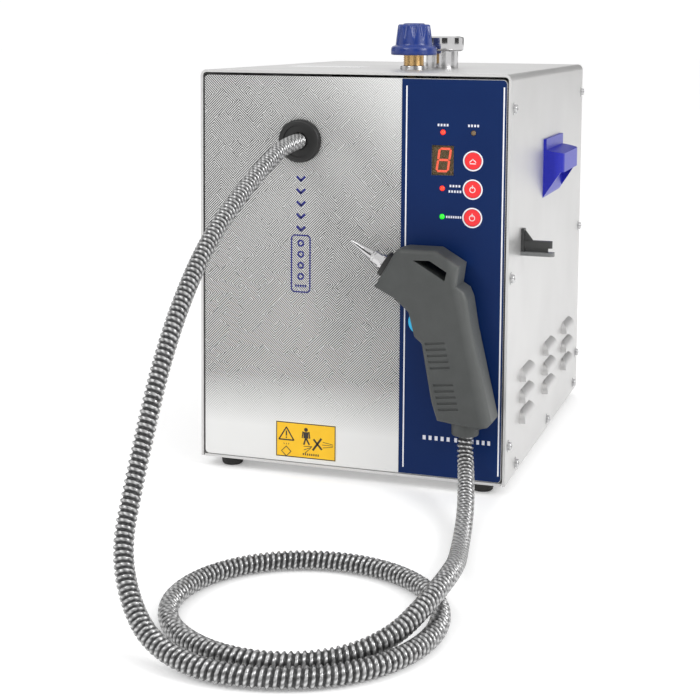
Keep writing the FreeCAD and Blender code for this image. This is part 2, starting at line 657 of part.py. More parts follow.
def pressure_switch():
    x, y, r = SENSOR
    top = dome_z(math.hypot(x - BOILER_X, y - BOILER_Y), True)
    return rod(V(x, y, 0), Z, r, top - 8, top + 8).fuse([
        rod(V(x, y, 0), Z, 12, top + 7, top + 27), rod(V(x, y, 0), Z, 5, top + 26, top + 36)])


def safety_valve():
    x, y, r = RELIEF
    top = dome_z(math.hypot(x - BOILER_X, y - BOILER_Y), True)
    body = rod(V(x, y, 0), Z, r, top - 8, top + 8)
    return body.fuse([rod(V(x, y, 0), Z, 8, top + 6, top + 26), rod(V(x, y, 0), Z, 3, top + 25, top + 34),
                      rod(V(x, y, 0), Z, 7, top + 33, top + 36)])


def water_tank():
    tank = box(TANK_X0, TANK_X1, TANK_Y0, TANK_Y1, TANK_Z0, TANK_Z1)
    tank = rounded(tank, 12, Z, lambda p: True)
    w = TANK_WALL
    space = box(TANK_X0 + w, TANK_X1 - w, TANK_Y0 + w, TANK_Y1 - w, TANK_Z0 + w, TANK_Z1 - w)
    space = rounded(space, 12 - w, Z, lambda p: True)
    holes = [rod(V(*port), Z, TUBE_R + PORT_CLEAR, -10, 10) for port in (TANK_OUT, TANK_IN)]
    return tank.cut([space] + holes)


def tank_stand():
    """Folded bracket that carries the water tank above the pump."""
    shelf = box(TANK_X0 + 25, TANK_X1, TANK_Y0, TANK_Y1, TANK_Z0 - TANK_STAND_T, TANK_Z0)
    legs = [box(x, x + TANK_STAND_T, TANK_Y0 + 5, TANK_Y1 - 5, TRAY_TOP, TANK_Z0 - TANK_STAND_T / 2)
            for x in (TANK_X0 + 25, TANK_X1 - TANK_STAND_T)]
    return shelf.fuse(legs)


def feed_pump():
    coil = box(PUMP_AT.x - 24, PUMP_AT.x + 24, PUMP_AT.y - 22, PUMP_AT.y + 22,
               PUMP_AT.z - 22, PUMP_AT.z + 22)
    coil = rounded(coil, 4, Z, lambda p: True)
    body = rod(PUMP_AT, Z, PUMP_BODY_R, -38, 42)
    feet = [box(PUMP_AT.x - 20, PUMP_AT.x + 20, PUMP_AT.y - 26, PUMP_AT.y + 26, TRAY_TOP, TRAY_TOP + 3),
            box(PUMP_AT.x - 16, PUMP_AT.x + 16, PUMP_AT.y - 3, PUMP_AT.y + 3, TRAY_TOP, PUMP_AT.z - 36)]
    return coil.fuse([body] + feet)


def water_tubes():
    """Silicone tubes: inlet to tank, tank to pump, pump to boiler."""
    fx, fy, fr = FEED_PORT
    dome = dome_z(math.hypot(fx - BOILER_X, fy - BOILER_Y), True)
    draw = pipe(((TANK_OUT[0], TANK_OUT[1], TANK_Z0 + 4), (TANK_OUT[0], TANK_OUT[1], 55),
                 (-52, PUMP_AT.y, 30), (PUMP_AT.x + PUMP_BODY_R, PUMP_AT.y, 30)), TUBE_R)[0]
    lift = pipe(((PUMP_AT.x, PUMP_AT.y, PUMP_AT.z + 42), (PUMP_AT.x, PUMP_AT.y, 200),
                 (PUMP_AT.x + 4, 60, 330), (-90, 30, 362), (20, 20, 366), (fx, -20, 366), (fx, fy, 362),
                 (fx, fy, dome - 5)), TUBE_R)[0]
    fill = pipe(((INLET_X, BACK_Y - 18, INLET_Z), (INLET_X, 166, INLET_Z), (INLET_X - 15, 166, 200),
                 (TANK_IN[0] + 3, 166, 345), (TANK_IN[0] + 1, 148, 367), (TANK_IN[0], TANK_IN[1], 362),
                 (TANK_IN[0], TANK_IN[1], TANK_Z1 - 5)), TUBE_R)[0]
    return [lift, draw, fill]


# ---------------------------------------------------------------- rear fittings


def rear_openings():
    return [rod(V(INLET_X, 0, INLET_Z), Y, INLET_R + 0.1, Y1 - 5, Y1 + 5),
            rod(V(GLAND2_X, 0, GLAND2_Z), Y, 8.1, Y1 - 5, Y1 + 5),
            rod(V(DRAIN_X, 0, DRAIN_Z), Y, DRAIN_R + 0.2, Y1 - 5, Y1 + 5),
            box(SWITCH_X - SWITCH_HW - 0.1, SWITCH_X + SWITCH_HW + 0.1, Y1 - 5, Y1 + 5,
                SWITCH_Z - SWITCH_HH - 0.1, SWITCH_Z + SWITCH_HH + 0.1)]


def rear_panel():
    vents = [box(x, x + 5, Y1 - 5, Y1 + 5, 250, 330) for x in range(-60, 70, 12)]
    return pan(BACK_Y, -1).cut(rear_openings() + vents)


def mains_gland():
    at = V(GLAND2_X, 0, GLAND2_Z)
    body = rod(at, Y, 8.0, BACK_Y - 14, BACK_Y + 1)
    dome = rod(at, Y, 10.0, BACK_Y + 5.5, BACK_Y + 18)
    rim = [e for e in dome.Edges if e.CenterOfMass.y > BACK_Y + 17.5]
    dome = dome.makeFillet(4.0, rim)
    hexagon = [tuple(at + V(12 * math.cos(math.radians(a)), BACK_Y, 12 * math.sin(math.radians(a))))
               for a in range(0, 360, 60)]
    nut_at = [tuple(V(*p) - V(0, SHEET + 5, 0)) for p in hexagon]
    body = body.fuse([prism(hexagon, V(0, 6, 0)), dome, prism(nut_at, V(0, 5, 0))])
    return body.cut(rod(at, Y, GLAND2_BORE, BACK_Y - 20, BACK_Y + 25))


def water_inlet():
    at = V(INLET_X, 0, INLET_Z)
    body = rod(at, Y, INLET_R, BACK_Y - 18, BACK_Y + 12)
    ring = tube(at, Y, INLET_BORE, 7.0, BACK_Y + 12, BACK_Y + 15)
    flange = rod(at, Y, 12.0, BACK_Y, BACK_Y + 4)
    nut = rod(at, Y, 12.0, BACK_Y - SHEET - 4, BACK_Y - SHEET)
    mouth = BACK_Y + 15
    body = body.fuse([flange, ring, nut])
    return body.cut([rod(at, Y, INLET_BORE, mouth - INLET_DEPTH, mouth + 1),
                     rod(at, Y, 2.5, BACK_Y - 19, mouth)])


def switch_frame():
    yb = BACK_Y
    frame = box(SWITCH_X - SWITCH_HW, SWITCH_X + SWITCH_HW, yb - 22, yb,
                SWITCH_Z - SWITCH_HH, SWITCH_Z + SWITCH_HH)
    lip = box(SWITCH_X - SWITCH_HW - 2, SWITCH_X + SWITCH_HW + 2, yb, yb + 2,
              SWITCH_Z - SWITCH_HH - 2, SWITCH_Z + SWITCH_HH + 2)
    hollow = box(SWITCH_X - SWITCH_HW + 2, SWITCH_X + SWITCH_HW - 2, yb - 13, yb + 3,
                 SWITCH_Z - SWITCH_HH + 2, SWITCH_Z + SWITCH_HH - 2)
    pivot = rod(V(0, yb - 2, SWITCH_Z), X, 1.55, SWITCH_X - SWITCH_HW + 0.5, SWITCH_X + SWITCH_HW - 0.5)
    return frame.fuse(lip).cut([hollow, pivot])


def power_rocker():
    """Rocker at rest with its lower half pressed in; it turns about X."""
    yb = BACK_Y
    half = SWITCH_HH - 3.2
    w = SWITCH_HW - 2.4
    tilt = math.radians(ROCKER_TURN / 2)
    points = [(-half, 0.0), (0, -1.6), (half, 0.0), (half - 1.5, -6.0), (0, -9.0), (-half + 1.5, -6.0)]
    turned = []
    for v, d in points:
        zz = v * math.cos(tilt) - d * math.sin(tilt)
        dd = v * math.sin(tilt) + d * math.cos(tilt)
        turned.append((SWITCH_X - w, yb + dd + 1.5, SWITCH_Z + zz))
    body = prism(turned, V(2 * w, 0, 0))
    reach = SWITCH_HW - 0.8
    return body.fuse(rod(V(0, yb - 2, SWITCH_Z), X, 1.45, SWITCH_X - reach, SWITCH_X + reach))


def drain_valve():
    """Quarter-turn ball valve outside the rear panel, piped to the boiler's low end."""
    at = V(DRAIN_X, 0, DRAIN_Z)
    pipe_in = rod(at, Y, DRAIN_R, Y1 - 25, BACK_Y + 10)
    body = rod(at, Y, 10.0, BACK_Y + 6, BACK_Y + 28)
    spout = rod(at, Y, DRAIN_R, BACK_Y + 27, BACK_Y + 46)
    bonnet = rod(V(DRAIN_X, BACK_Y + 17, 0), Z, 6.0, DRAIN_Z, DRAIN_Z + 15)
    nut = rod(at, Y, 11.0, BACK_Y, BACK_Y + 6)
    bore = rod(at, Y, 4.0, Y1 - 30, BACK_Y + 60)
    stem = rod(V(DRAIN_X, BACK_Y + 17, 0), Z, 3.05, DRAIN_Z + 5, DRAIN_Z + 20)
    return pipe_in.fuse([body, spout, bonnet, nut]).cut([bore, stem])


def drain_lever():
    yv = BACK_Y + 17
    stem = rod(V(DRAIN_X, yv, 0), Z, 3.0, DRAIN_Z + 5.2, DRAIN_Z + 19)
    hub = rod(V(DRAIN_X, yv, 0), Z, 7.0, DRAIN_Z + 15.3, DRAIN_Z + 18.3)
    arm = box(DRAIN_X - 5, DRAIN_X + 42, yv - 5, yv + 5, DRAIN_Z + 15.3, DRAIN_Z + 18.3)
    arm = rounded(arm, 4.5, Z, lambda p: True)
    return hub.fuse([stem, arm])


def copper_pipes():
    """Steam pipe from the boiler to the valve, and drain pipe from its lower end to the drain valve."""
    x, y, r = STEAM_PORT
    low = dome_z(math.hypot(x - BOILER_X, y - BOILER_Y), True) - 6
    high = GLAND_Z + 28
    steam = ((x, y, low), (x, y, high), (GLAND_X, y + 1, high), (GLAND_X, y + 0.5, GLAND_Z),
             (GLAND_X, VALVE_Y1, GLAND_Z))
    x, y, r = DRAIN_PORT
    low = dome_z(math.hypot(x - BOILER_X, y - BOILER_Y), False) + 5
    drain = ((x, y, low), (x, y, DRAIN_Z + 30), (x - 1, y + 60, DRAIN_Z + 2), (DRAIN_X + 1, 130, DRAIN_Z + 2),
             (DRAIN_X, Y1 - 25, DRAIN_Z))
    return [pipe(steam, r)[0], pipe(drain, r)[0]]


# ---------------------------------------------------------------- caps on top
def filler_neck():
    at = V(FILLER_X, FILLER_Y, 0)
    low = dome_z(math.hypot(FILLER_X - BOILER_X, FILLER_Y - BOILER_Y), True) - 8
    neck = rod(at, Z, FILLER_NECK_R, low, Z1 + FILLER_NECK_H)
    grooves = [tube(at, Z, FILLER_NECK_R - 0.5, FILLER_NECK_R + 1, Z1 + 5 + i * 1.8, Z1 + 5.7 + i * 1.8)
               for i in range(12)]
    return neck.cut(grooves + [rod(at, Z, FILLER_NECK_BORE, low - 1, Z1 + 60)])


def filler_nut():
    at = V(FILLER_X, FILLER_Y, Z1)
    nut = tube(at, Z, FILLER_NECK_R + 0.05, FILLER_NUT_R, 0, FILLER_NUT_T)
    top = Z1 + FILLER_NUT_T - 0.1
    round_edges = [e for e in nut.Edges if e.CenterOfMass.z > top and len(e.Vertexes) == 1]
    rim = [e for e in round_edges if e.Curve.Radius > FILLER_NUT_R - 0.1]
    return nut.makeFillet(1.0, rim)


def filler_seal():
    at = V(FILLER_X, FILLER_Y, Z1 + FILLER_NECK_H)
    return tube(at, Z, FILLER_NECK_BORE, FILLER_NECK_R - 0.2, SEAL_GAP, SEAL_GAP + SEAL_T)


def filler_cap():
    at = V(FILLER_X, FILLER_Y, 0)
    z0 = Z1 + FILLER_CAP_LIFT
    z1 = z0 + FILLER_FLANGE_T
    z2 = z1 + FILLER_BODY_H
    flange = rod(at, Z, FILLER_FLANGE_R, z0, z1)
    flange = flange.makeFillet(2.5, [e for e in flange.Edges if e.Curve.TypeId == "Part::GeomCircle"])
    body = Part.makeCone(FILLER_BODY_R0, FILLER_BODY_R1, FILLER_BODY_H, at + Z * z1)
    flutes = []
    for i in range(FLUTES):
        a = 2 * math.pi * i / FLUTES
        reach = FILLER_BODY_R0 + 1.0
        foot = at + V(reach * math.cos(a), reach * math.sin(a), z1 + 0.5)
        narrowing = FILLER_BODY_R0 - FILLER_BODY_R1
        lean = V(-narrowing * math.cos(a), -narrowing * math.sin(a), FILLER_BODY_H)
        flutes.append(Part.makeCylinder(FLUTE_R, FILLER_BODY_H + 4, foot, lean))
    body = body.cut(flutes)
    top = rod(at, Z, FILLER_TOP_R, z2 - 0.5, z2 + FILLER_TOP_T)
    roof = Z1 + FILLER_NECK_H + SEAL_T + 2 * SEAL_GAP
    bore = rod(at, Z, FILLER_NECK_R + CAP_CLEAR, z0 - 1, roof)
    return flange.fuse([body, top]).cut(bore)


def release_neck():
    at = V(RELEASE_X, RELEASE_Y, 0)
    low = dome_z(math.hypot(RELEASE_X - BOILER_X, RELEASE_Y - BOILER_Y), True) - 8
    stem = rod(at, Z, RELEASE_STEM_R, low, Z1 + 1)
    collar = rod(at, Z, RELEASE_COLLAR_R, Z1, Z1 + RELEASE_COLLAR_H)
    stub = rod(at, Z, RELEASE_STUB_R, Z1 + RELEASE_COLLAR_H - 1, Z1 + RELEASE_COLLAR_H + RELEASE_STUB_H)
    return stem.fuse([collar, stub]).cut(rod(at, Z, RELEASE_BORE, low - 1, Z1 + 60))


def release_seal():
    at = V(RELEASE_X, RELEASE_Y, Z1 + RELEASE_COLLAR_H + RELEASE_STUB_H)
    return tube(at, Z, RELEASE_BORE, RELEASE_STUB_R - 0.2, SEAL_GAP, SEAL_GAP + SEAL_T)


def release_cap():
    at = V(RELEASE_X, RELEASE_Y, 0)
    z0 = Z1 + RELEASE_COLLAR_H + 0.3
    cap = rod(at, Z, RELEASE_CAP_R, z0, z0 + RELEASE_CAP_H)
    cap = cap.makeFillet(1.6, [e for e in cap.Edges if e.Curve.TypeId == "Part::GeomCircle"])
    roof = Z1 + RELEASE_COLLAR_H + RELEASE_STUB_H + SEAL_T + 2 * SEAL_GAP
    return cap.cut(rod(at, Z, RELEASE_STUB_R + CAP_CLEAR, z0 - 1, roof))


# ---------------------------------------------------------------- side brackets
def bracket_places():
    """Inside screws of the hood and of the hook."""
    hood = [(HOOD_Y0 + 16.0, HOOD_TOP - 5.5), (HOOD_Y1 - 16.0, HOOD_TOP - 5.5)]
    hook = [(HOOK_Y, HOOK_Z1 - 4.0), (HOOK_Y, HOOK_Z0 + 3.2)]
    return hood + hook


def bracket_screws():
    screws = []
    for y, z in bracket_places():
        head = rod(V(X1 - SHEET, y, z), X, 3.4, -2.0, 0)
        screws.append(head.fuse(rod(V(X1 - SHEET, y, z), X, 1.45, -1, SHEET + 2.0)))
    return screws


def nozzle_hood():
    """Blue plastic hood: a back plate, a sloping shelf and a skirt, open underneath."""
    out = X1 + HOOD_OUT
    outline = [(X1, HOOD_TIP), (out - HOOD_T, HOOD_SKIRT), (out, HOOD_SKIRT), (out, HOOD_SHELF - HOOD_FALL),
               (X1 + HOOD_T, HOOD_SHELF), (X1 + HOOD_T, HOOD_TOP), (X1, HOOD_TOP)]
    hood = profile_y(outline, HOOD_Y0, HOOD_Y1)
    hood = rounded(hood, HOOD_R_FRONT, Z, lambda p: p.x > out - 1 and p.y < HOOD_Y0 + 1)
    hood = rounded(hood, HOOD_R_BACK, Z, lambda p: p.x > out - 1 and p.y > HOOD_Y1 - 1)
    inner = [(X1 + HOOD_T, HOOD_TIP - 40), (out - HOOD_T, HOOD_TIP - 40),
             (out - HOOD_T, HOOD_SHELF - HOOD_FALL - HOOD_T), (X1 + HOOD_T, HOOD_SHELF - HOOD_T)]
    room = profile_y(inner, HOOD_Y0 + HOOD_T, HOOD_Y1 - HOOD_T)
    far = out - HOOD_T - 1
    room = rounded(room, HOOD_R_FRONT - HOOD_T, Z, lambda p: p.x > far and p.y < HOOD_Y0 + HOOD_T + 1)
    room = rounded(room, HOOD_R_BACK - HOOD_T, Z, lambda p: p.x > far and p.y > HOOD_Y1 - HOOD_T - 1)
    hood = hood.cut(room)
    pilot = [rod(V(X1, y, z), X, 1.5, -1, 2.2) for y, z in bracket_places()[:2]]
    return hood.cut(pilot)


def gun_hook():
    y0, y1 = HOOK_Y - HOOK_W / 2, HOOK_Y + HOOK_W / 2
    plate = box(X1, X1 + HOOK_T, y0, y1, HOOK_Z0, HOOK_Z1)
    arm = box(X1, X1 + HOOK_OUT, y0 + 1, y1 - 1, HOOK_ARM_Z0, HOOK_ARM_Z1)
    arm = rounded(arm, 2.9, Z, lambda p: p.x > X1 + HOOK_OUT - 1)
    rail = box(X1, X1 + HOOK_OUT + 2, y0 - 1, y1 + 1, HOOK_Z0, HOOK_Z0 + 3.5)
    rail = rounded(rail, 4.0, Z, lambda p: p.x > X1 + HOOK_OUT)
    web = box(X1, X1 + HOOK_OUT - 4, HOOK_Y - 1.5, HOOK_Y + 1.5, HOOK_Z0 + 3, HOOK_ARM_Z0 + 1)
    gusset = profile_y([(X1 + 2, HOOK_ARM_Z1 - 0.5), (X1 + 11, HOOK_ARM_Z1 - 0.5), (X1 + 2, HOOK_Z1)],
                       HOOK_Y - 2.0, HOOK_Y + 2.0)
    hook = plate.fuse([arm, rail, web, gusset])
    return hook.cut([rod(V(X1, y, z), X, 1.5, -1, 2.2) for y, z in bracket_places()[2:]])


# ---------------------------------------------------------------- gun
def gun_half(side):
    """One moulded half of the gun; side is -1 for the outer half and 1 for the one by the panel."""
    outer_y = GUN_Y + side * GUN_HALF
    block = profile_y(GUN_OUTLINE, GUN_Y, outer_y)
    loop = profile_y(GUN_LOOP, GUN_Y - 20, GUN_Y + 20)
    block = block.cut(loop)
    face = [e for e in block.Edges if abs(e.CenterOfMass.y - outer_y) < 0.01]
    rim = [e for e in face if not inside_loop(e.CenterOfMass)]
    block = block.makeFillet(GUN_EDGE_R, rim)
    core = Part.makePolygon([V(x, GUN_Y, z) for x, z in GUN_CORE + GUN_CORE[:1]])
    core = core.makeOffset2D(-GUN_WALL, 2, False, False)
    hollow = Part.Face(core).extrude(V(0, side * (GUN_HALF - GUN_WALL), 0))
    block = block.cut(hollow)
    posts = [rod(V(x, GUN_Y, z), Y * side, BOSS_R, 0, GUN_HALF - 1) for x, z in BOSSES]
    block = block.fuse(posts)
    cuts = [rod(NOSE, HEAD_DIR, NOZZLE_SPIGOT_R + 0.1, -6, 4), trigger_slot(),
            rod(HOSE_END, Z, BOOT_SPIGOT_R + 0.1, -16, 9)]
    for x, z in BOSSES:
        if side < 0:
            cuts.append(rod(V(x, GUN_Y, z), Y, 1.3, -(GUN_HALF - 5), 1))
        else:
            cuts.append(rod(V(x, GUN_Y, z), Y, 1.8, -1, GUN_HALF + 1))
            cuts.append(rod(V(x, GUN_Y, z), Y, 3.3, GUN_HALF - 7, GUN_HALF + 1))
    ribs = []
    for start in (0.0, 38.0):
        for i in range(5):
            foot = V(83.5, GUN_Y, 144.0) + GRIP_DIR * (-(start + i * 5.6)) + V(0, side * GUN_HALF, 0)
            foot = foot + V(-0.5, 0, 0)
            along = V(18, 0, 2.0)
            up = GRIP_DIR * 2.0
            groove = prism([tuple(foot), tuple(foot + along), tuple(foot + along + up), tuple(foot + up)],
                           V(0, -side * 1.0, 0))
            ribs.append(groove)
    return block.cut(cuts + ribs)


def inside_loop(point):
    """True on the edge of the hanging loop's hole."""
    xs = [x for x, z in GUN_LOOP]
    zs = [z for x, z in GUN_LOOP]
    near_x = min(xs) - 0.5 < point.x < max(xs) + 0.5
    near_z = min(zs) - 0.5 < point.z < max(zs) + 0.5
    return near_x and near_z


def trigger_block(grow, proud, depth, length):
    """Box in the trigger's own frame: across Y, along its face and into the grip."""
    a = TRIGGER_AT + TRIGGER_IN * (-proud) + TRIGGER_DOWN * (-length) + V(0, -TRIGGER_HALF_W - grow, 0)
    b = TRIGGER_AT + TRIGGER_IN * (-proud) + TRIGGER_DOWN * length + V(0, -TRIGGER_HALF_W - grow, 0)
    c = b + TRIGGER_IN * (depth + proud)
    d = a + TRIGGER_IN * (depth + proud)
    return prism([tuple(p) for p in (a, b, c, d)], V(0, 2 * (TRIGGER_HALF_W + grow), 0))


def trigger_slot():
    return trigger_block(TRIGGER_CLEAR, 6.0, 6.0, TRIGGER_HALF_L + TRIGGER_CLEAR)


def trigger():
    a = TRIGGER_AT + TRIGGER_DOWN * (-TRIGGER_HALF_L)
    b = TRIGGER_AT + TRIGGER_DOWN * TRIGGER_HALF_L
    crown = TRIGGER_AT + TRIGGER_IN * (-TRIGGER_PROUD)
    back_b = b + TRIGGER_IN * 4.5
    back_a = a + TRIGGER_IN * 4.5
    edges = [Part.Arc(a, crown, b).toShape(), Part.LineSegment(b, back_b).toShape(),
             Part.LineSegment(back_b, back_a).toShape(), Part.LineSegment(back_a, a).toShape()]
    face = Part.Face(Part.Wire(edges))
    face.translate(V(0, -TRIGGER_HALF_W, 0))
    pad = face.extrude(V(0, 2 * TRIGGER_HALF_W, 0))
    flange = trigger_block(1.6, -3.4, 4.6, TRIGGER_HALF_L + 1.6)
    post = rod(TRIGGER_AT, TRIGGER_IN, 3.0, 4.0, 8.0)
    return pad.fuse([flange, post])


def trigger_switch():
    """Microswitch behind the trigger, with its button."""
    near = TRIGGER_TRAVEL + 8.3
    a = TRIGGER_AT + TRIGGER_IN * near + TRIGGER_DOWN * (-9) + V(0, -4, 0)
    b = a + TRIGGER_DOWN * 18
    c = b + TRIGGER_IN * 7.5
    d = a + TRIGGER_IN * 7.5
    return prism([tuple(p) for p in (a, b, c, d)], V(0, 8, 0))


def gun_tube():
    """Steam tube from the hose's end, up the grip and along the head."""
    elbow = crossing(HOSE_END + Z * 14, GRIP_DIR, NOSE, HEAD_DIR)
    back = NOSE + HEAD_DIR * NOZZLE_BACK
    foot = HOSE_END + Z * 14
    return pipe((tuple(HOSE_END), tuple(foot), tuple(elbow), tuple(back)), 3.2, 0.3)[0]


def crossing(p, u, q, v):
    """Where two lines of the gun's mid-plane meet."""
    det = u.x * (-v.z) + v.x * u.z
    s = ((q.x - p.x) * (-v.z) + v.x * (q.z - p.z)) / det
    return p + u * s


def nozzle_collar():
    flange = rod(NOSE, HEAD_DIR, 12.0, 0, COLLAR_L)
    flange = flange.fuse(rod(NOSE, HEAD_DIR, NOZZLE_SPIGOT_R, -3.5, 1))
    return flange.cut(rod(NOSE, HEAD_DIR, 5.1, -5, COLLAR_L + 1))


def nozzle_ring():
    """Castellated chrome ring nut between the collar and the nozzle."""
    ring = tube(NOSE, HEAD_DIR, 5.1, 7.8, COLLAR_L, COLLAR_L + RING_L)
    notches = []
    side = HEAD_DIR.cross(Y)
    for i in range(8):
        a = 2 * math.pi * i / 8
        radial = side * math.cos(a) + Y * math.sin(a)
        across = HEAD_DIR.cross(radial)
        corner = NOSE + HEAD_DIR * (COLLAR_L - 1) + radial * 6.6 - across * 1.3
        notch = prism([tuple(corner), tuple(corner + across * 2.6), tuple(corner + across * 2.6 + radial * 3),
                       tuple(corner + radial * 3)], HEAD_DIR * 3.2)
        notches.append(notch)
    return ring.cut(notches)


def nozzle():
    stem = rod(NOSE, HEAD_DIR, 5.0, NOZZLE_BACK, COLLAR_L + RING_L + 1)
    body = rod(NOSE, HEAD_DIR, NOZZLE_R, COLLAR_L + RING_L, NOZZLE_BODY_END)
    cone_foot = NOSE + HEAD_DIR * NOZZLE_BODY_END
    cone = Part.makeCone(NOZZLE_R - 0.8, 1.3, NOZZLE_TIP - NOZZLE_BODY_END, cone_foot, HEAD_DIR)
    solid = stem.fuse([body, cone])
    return solid.cut([rod(NOSE, HEAD_DIR, 2.0, NOZZLE_BACK - 1, 30),
                      rod(NOSE, HEAD_DIR, 0.7, 29, NOZZLE_TIP + 1)])


def hose_boot():
    """Collar under the grip that holds the hose's end."""
    block = Part.makeCone(BOOT_R - 0.7, BOOT_R, 16, HOSE_END - Z * BOOT_L)
    rim = [e for e in block.Edges if e.CenterOfMass.z < HOSE_END.z - BOOT_L + 0.1]
    block = block.makeFillet(1.2, rim)
    grip = profile_y(GUN_OUTLINE[10:14] + ((79, 144), (125, 159), (144, 77)), GUN_Y - 20, GUN_Y + 20)
    block = block.cut(grip)
    spigot = rod(HOSE_END, Z, BOOT_SPIGOT_R, -3, 7.5)
    return block.fuse(spigot).cut([rod(HOSE_END, Z, HOSE_D / 2 + 0.2, -20, 0),
                                   rod(HOSE_END, Z, 3.3, -1, 10)])


def gun_screws():
    screws = []
    for x, z in BOSSES:
        at = V(x, GUN_Y, z)
        head = rod(at, Y, 3.0, GUN_HALF - 7, GUN_HALF - 4.8)
        screws.append(head.fuse(rod(at, Y, 1.25, -(GUN_HALF - 6), GUN_HALF - 6)))
    return screws


# ---------------------------------------------------------------- build
def main():
    os.makedirs("parts", exist_ok=True)
    pieces = {
        "outer_cover": outer_cover, "front_panel": front_panel, "rear_panel": rear_panel,
        "base_tray": base_tray, "control_film": control_film, "rubber_feet": rubber_feet,
        "cover_screws": cover_screws, "labels": labels, "display_window": display_window,
        "display_module": display_module, "control_board": control_board,
        "led_red": lambda: [led(x, z) for x, z in LED_RED],
        "led_green": lambda: [led(x, z) for x, z in LED_GREEN],
        "key_value": lambda: key_cap(KEY_Z[0]), "key_water": lambda: key_cap(KEY_Z[1]),
        "key_heating": lambda: key_cap(KEY_Z[2]),
        "hose_gland": hose_gland, "gland_nut": gland_nut, "hose_fitting": hose_fitting,
        "steam_hose": steam_hose, "steam_valve": steam_valve, "valve_plunger": valve_plunger,
        "boiler": boiler, "boiler_jacket": boiler_jacket, "boiler_stand": boiler_stand,
        "heating_element": heating_element, "level_probe": level_probe,
        "pressure_switch": pressure_switch, "safety_valve": safety_valve,
        "copper_pipes": copper_pipes, "water_tank": water_tank, "tank_stand": tank_stand,
        "feed_pump": feed_pump, "water_tubes": water_tubes,
        "mains_gland": mains_gland, "water_inlet": water_inlet, "switch_frame": switch_frame,
        "power_rocker": power_rocker, "drain_valve": drain_valve, "drain_lever": drain_lever,
        "filler_neck": filler_neck, "filler_nut": filler_nut, "filler_seal": filler_seal,
        "filler_cap": filler_cap, "release_neck": release_neck, "release_seal": release_seal,
        "release_cap": release_cap, "nozzle_hood": nozzle_hood, "gun_hook": gun_hook,
        "bracket_screws": bracket_screws, "gun_shell_outer": lambda: gun_half(-1),
        "gun_shell_inner": lambda: gun_half(1), "trigger": trigger, "trigger_switch": trigger_switch,
        "gun_tube": gun_tube, "nozzle": nozzle, "nozzle_ring": nozzle_ring,
        "nozzle_collar": nozzle_collar, "hose_boot": hose_boot, "gun_screws": gun_screws,
    }
    print(len(pieces), "nodes")
    for name, make in pieces.items():
        save(name, make())


main()
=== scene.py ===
import bmesh
import bpy
import json
import math
from mathutils import Matrix, Vector


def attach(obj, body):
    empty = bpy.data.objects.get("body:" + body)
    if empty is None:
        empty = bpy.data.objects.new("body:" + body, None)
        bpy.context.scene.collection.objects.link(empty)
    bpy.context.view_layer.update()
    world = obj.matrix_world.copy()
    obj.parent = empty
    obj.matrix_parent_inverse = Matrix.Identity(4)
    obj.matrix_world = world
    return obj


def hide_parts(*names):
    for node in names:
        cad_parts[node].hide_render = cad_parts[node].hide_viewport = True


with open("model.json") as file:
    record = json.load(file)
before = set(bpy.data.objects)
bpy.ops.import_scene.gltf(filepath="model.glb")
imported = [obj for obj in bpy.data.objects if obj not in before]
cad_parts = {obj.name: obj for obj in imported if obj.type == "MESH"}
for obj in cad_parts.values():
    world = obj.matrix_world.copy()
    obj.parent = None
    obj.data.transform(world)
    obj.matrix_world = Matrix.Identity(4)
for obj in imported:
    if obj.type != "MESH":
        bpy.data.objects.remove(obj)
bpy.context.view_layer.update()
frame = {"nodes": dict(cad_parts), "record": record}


# Camera: a long lens at the height of the cabinet's top, a little to the right of its front.
# The lens is shifted down and not tipped, so the cabinet's upright edges stay nearly upright.
VIEW_TURN = math.radians(17.965)
VIEW_DIP = math.radians(5.357)
VIEW_ROLL = math.radians(0.412)
CAMERA_AT = (0.41199, -1.47116, 0.42686)
LENS_MM = 74.76
LENS_SHIFT = -0.268
ahead = Vector((-math.sin(VIEW_TURN) * math.cos(VIEW_DIP), math.cos(VIEW_TURN) * math.cos(VIEW_DIP),
                -math.sin(VIEW_DIP)))
level = Vector((math.cos(VIEW_TURN), math.sin(VIEW_TURN), 0.0))
upward = level.cross(ahead)
right = level * math.cos(VIEW_ROLL) + upward * math.sin(VIEW_ROLL)
upright = upward * math.cos(VIEW_ROLL) - level * math.sin(VIEW_ROLL)
lens = bpy.data.cameras.new("camera")
lens.lens = LENS_MM
lens.sensor_width = 36.0
lens.shift_y = LENS_SHIFT
lens.clip_end = 50.0
camera = bpy.data.objects.new("camera", lens)
camera.matrix_world = Matrix((
    (right.x, upright.x, -ahead.x, CAMERA_AT[0]),
    (right.y, upright.y, -ahead.y, CAMERA_AT[1]),
    (right.z, upright.z, -ahead.z, CAMERA_AT[2]),
    (0.0, 0.0, 0.0, 1.0)))
bpy.context.scene.collection.objects.link(camera)
bpy.context.scene.camera = camera


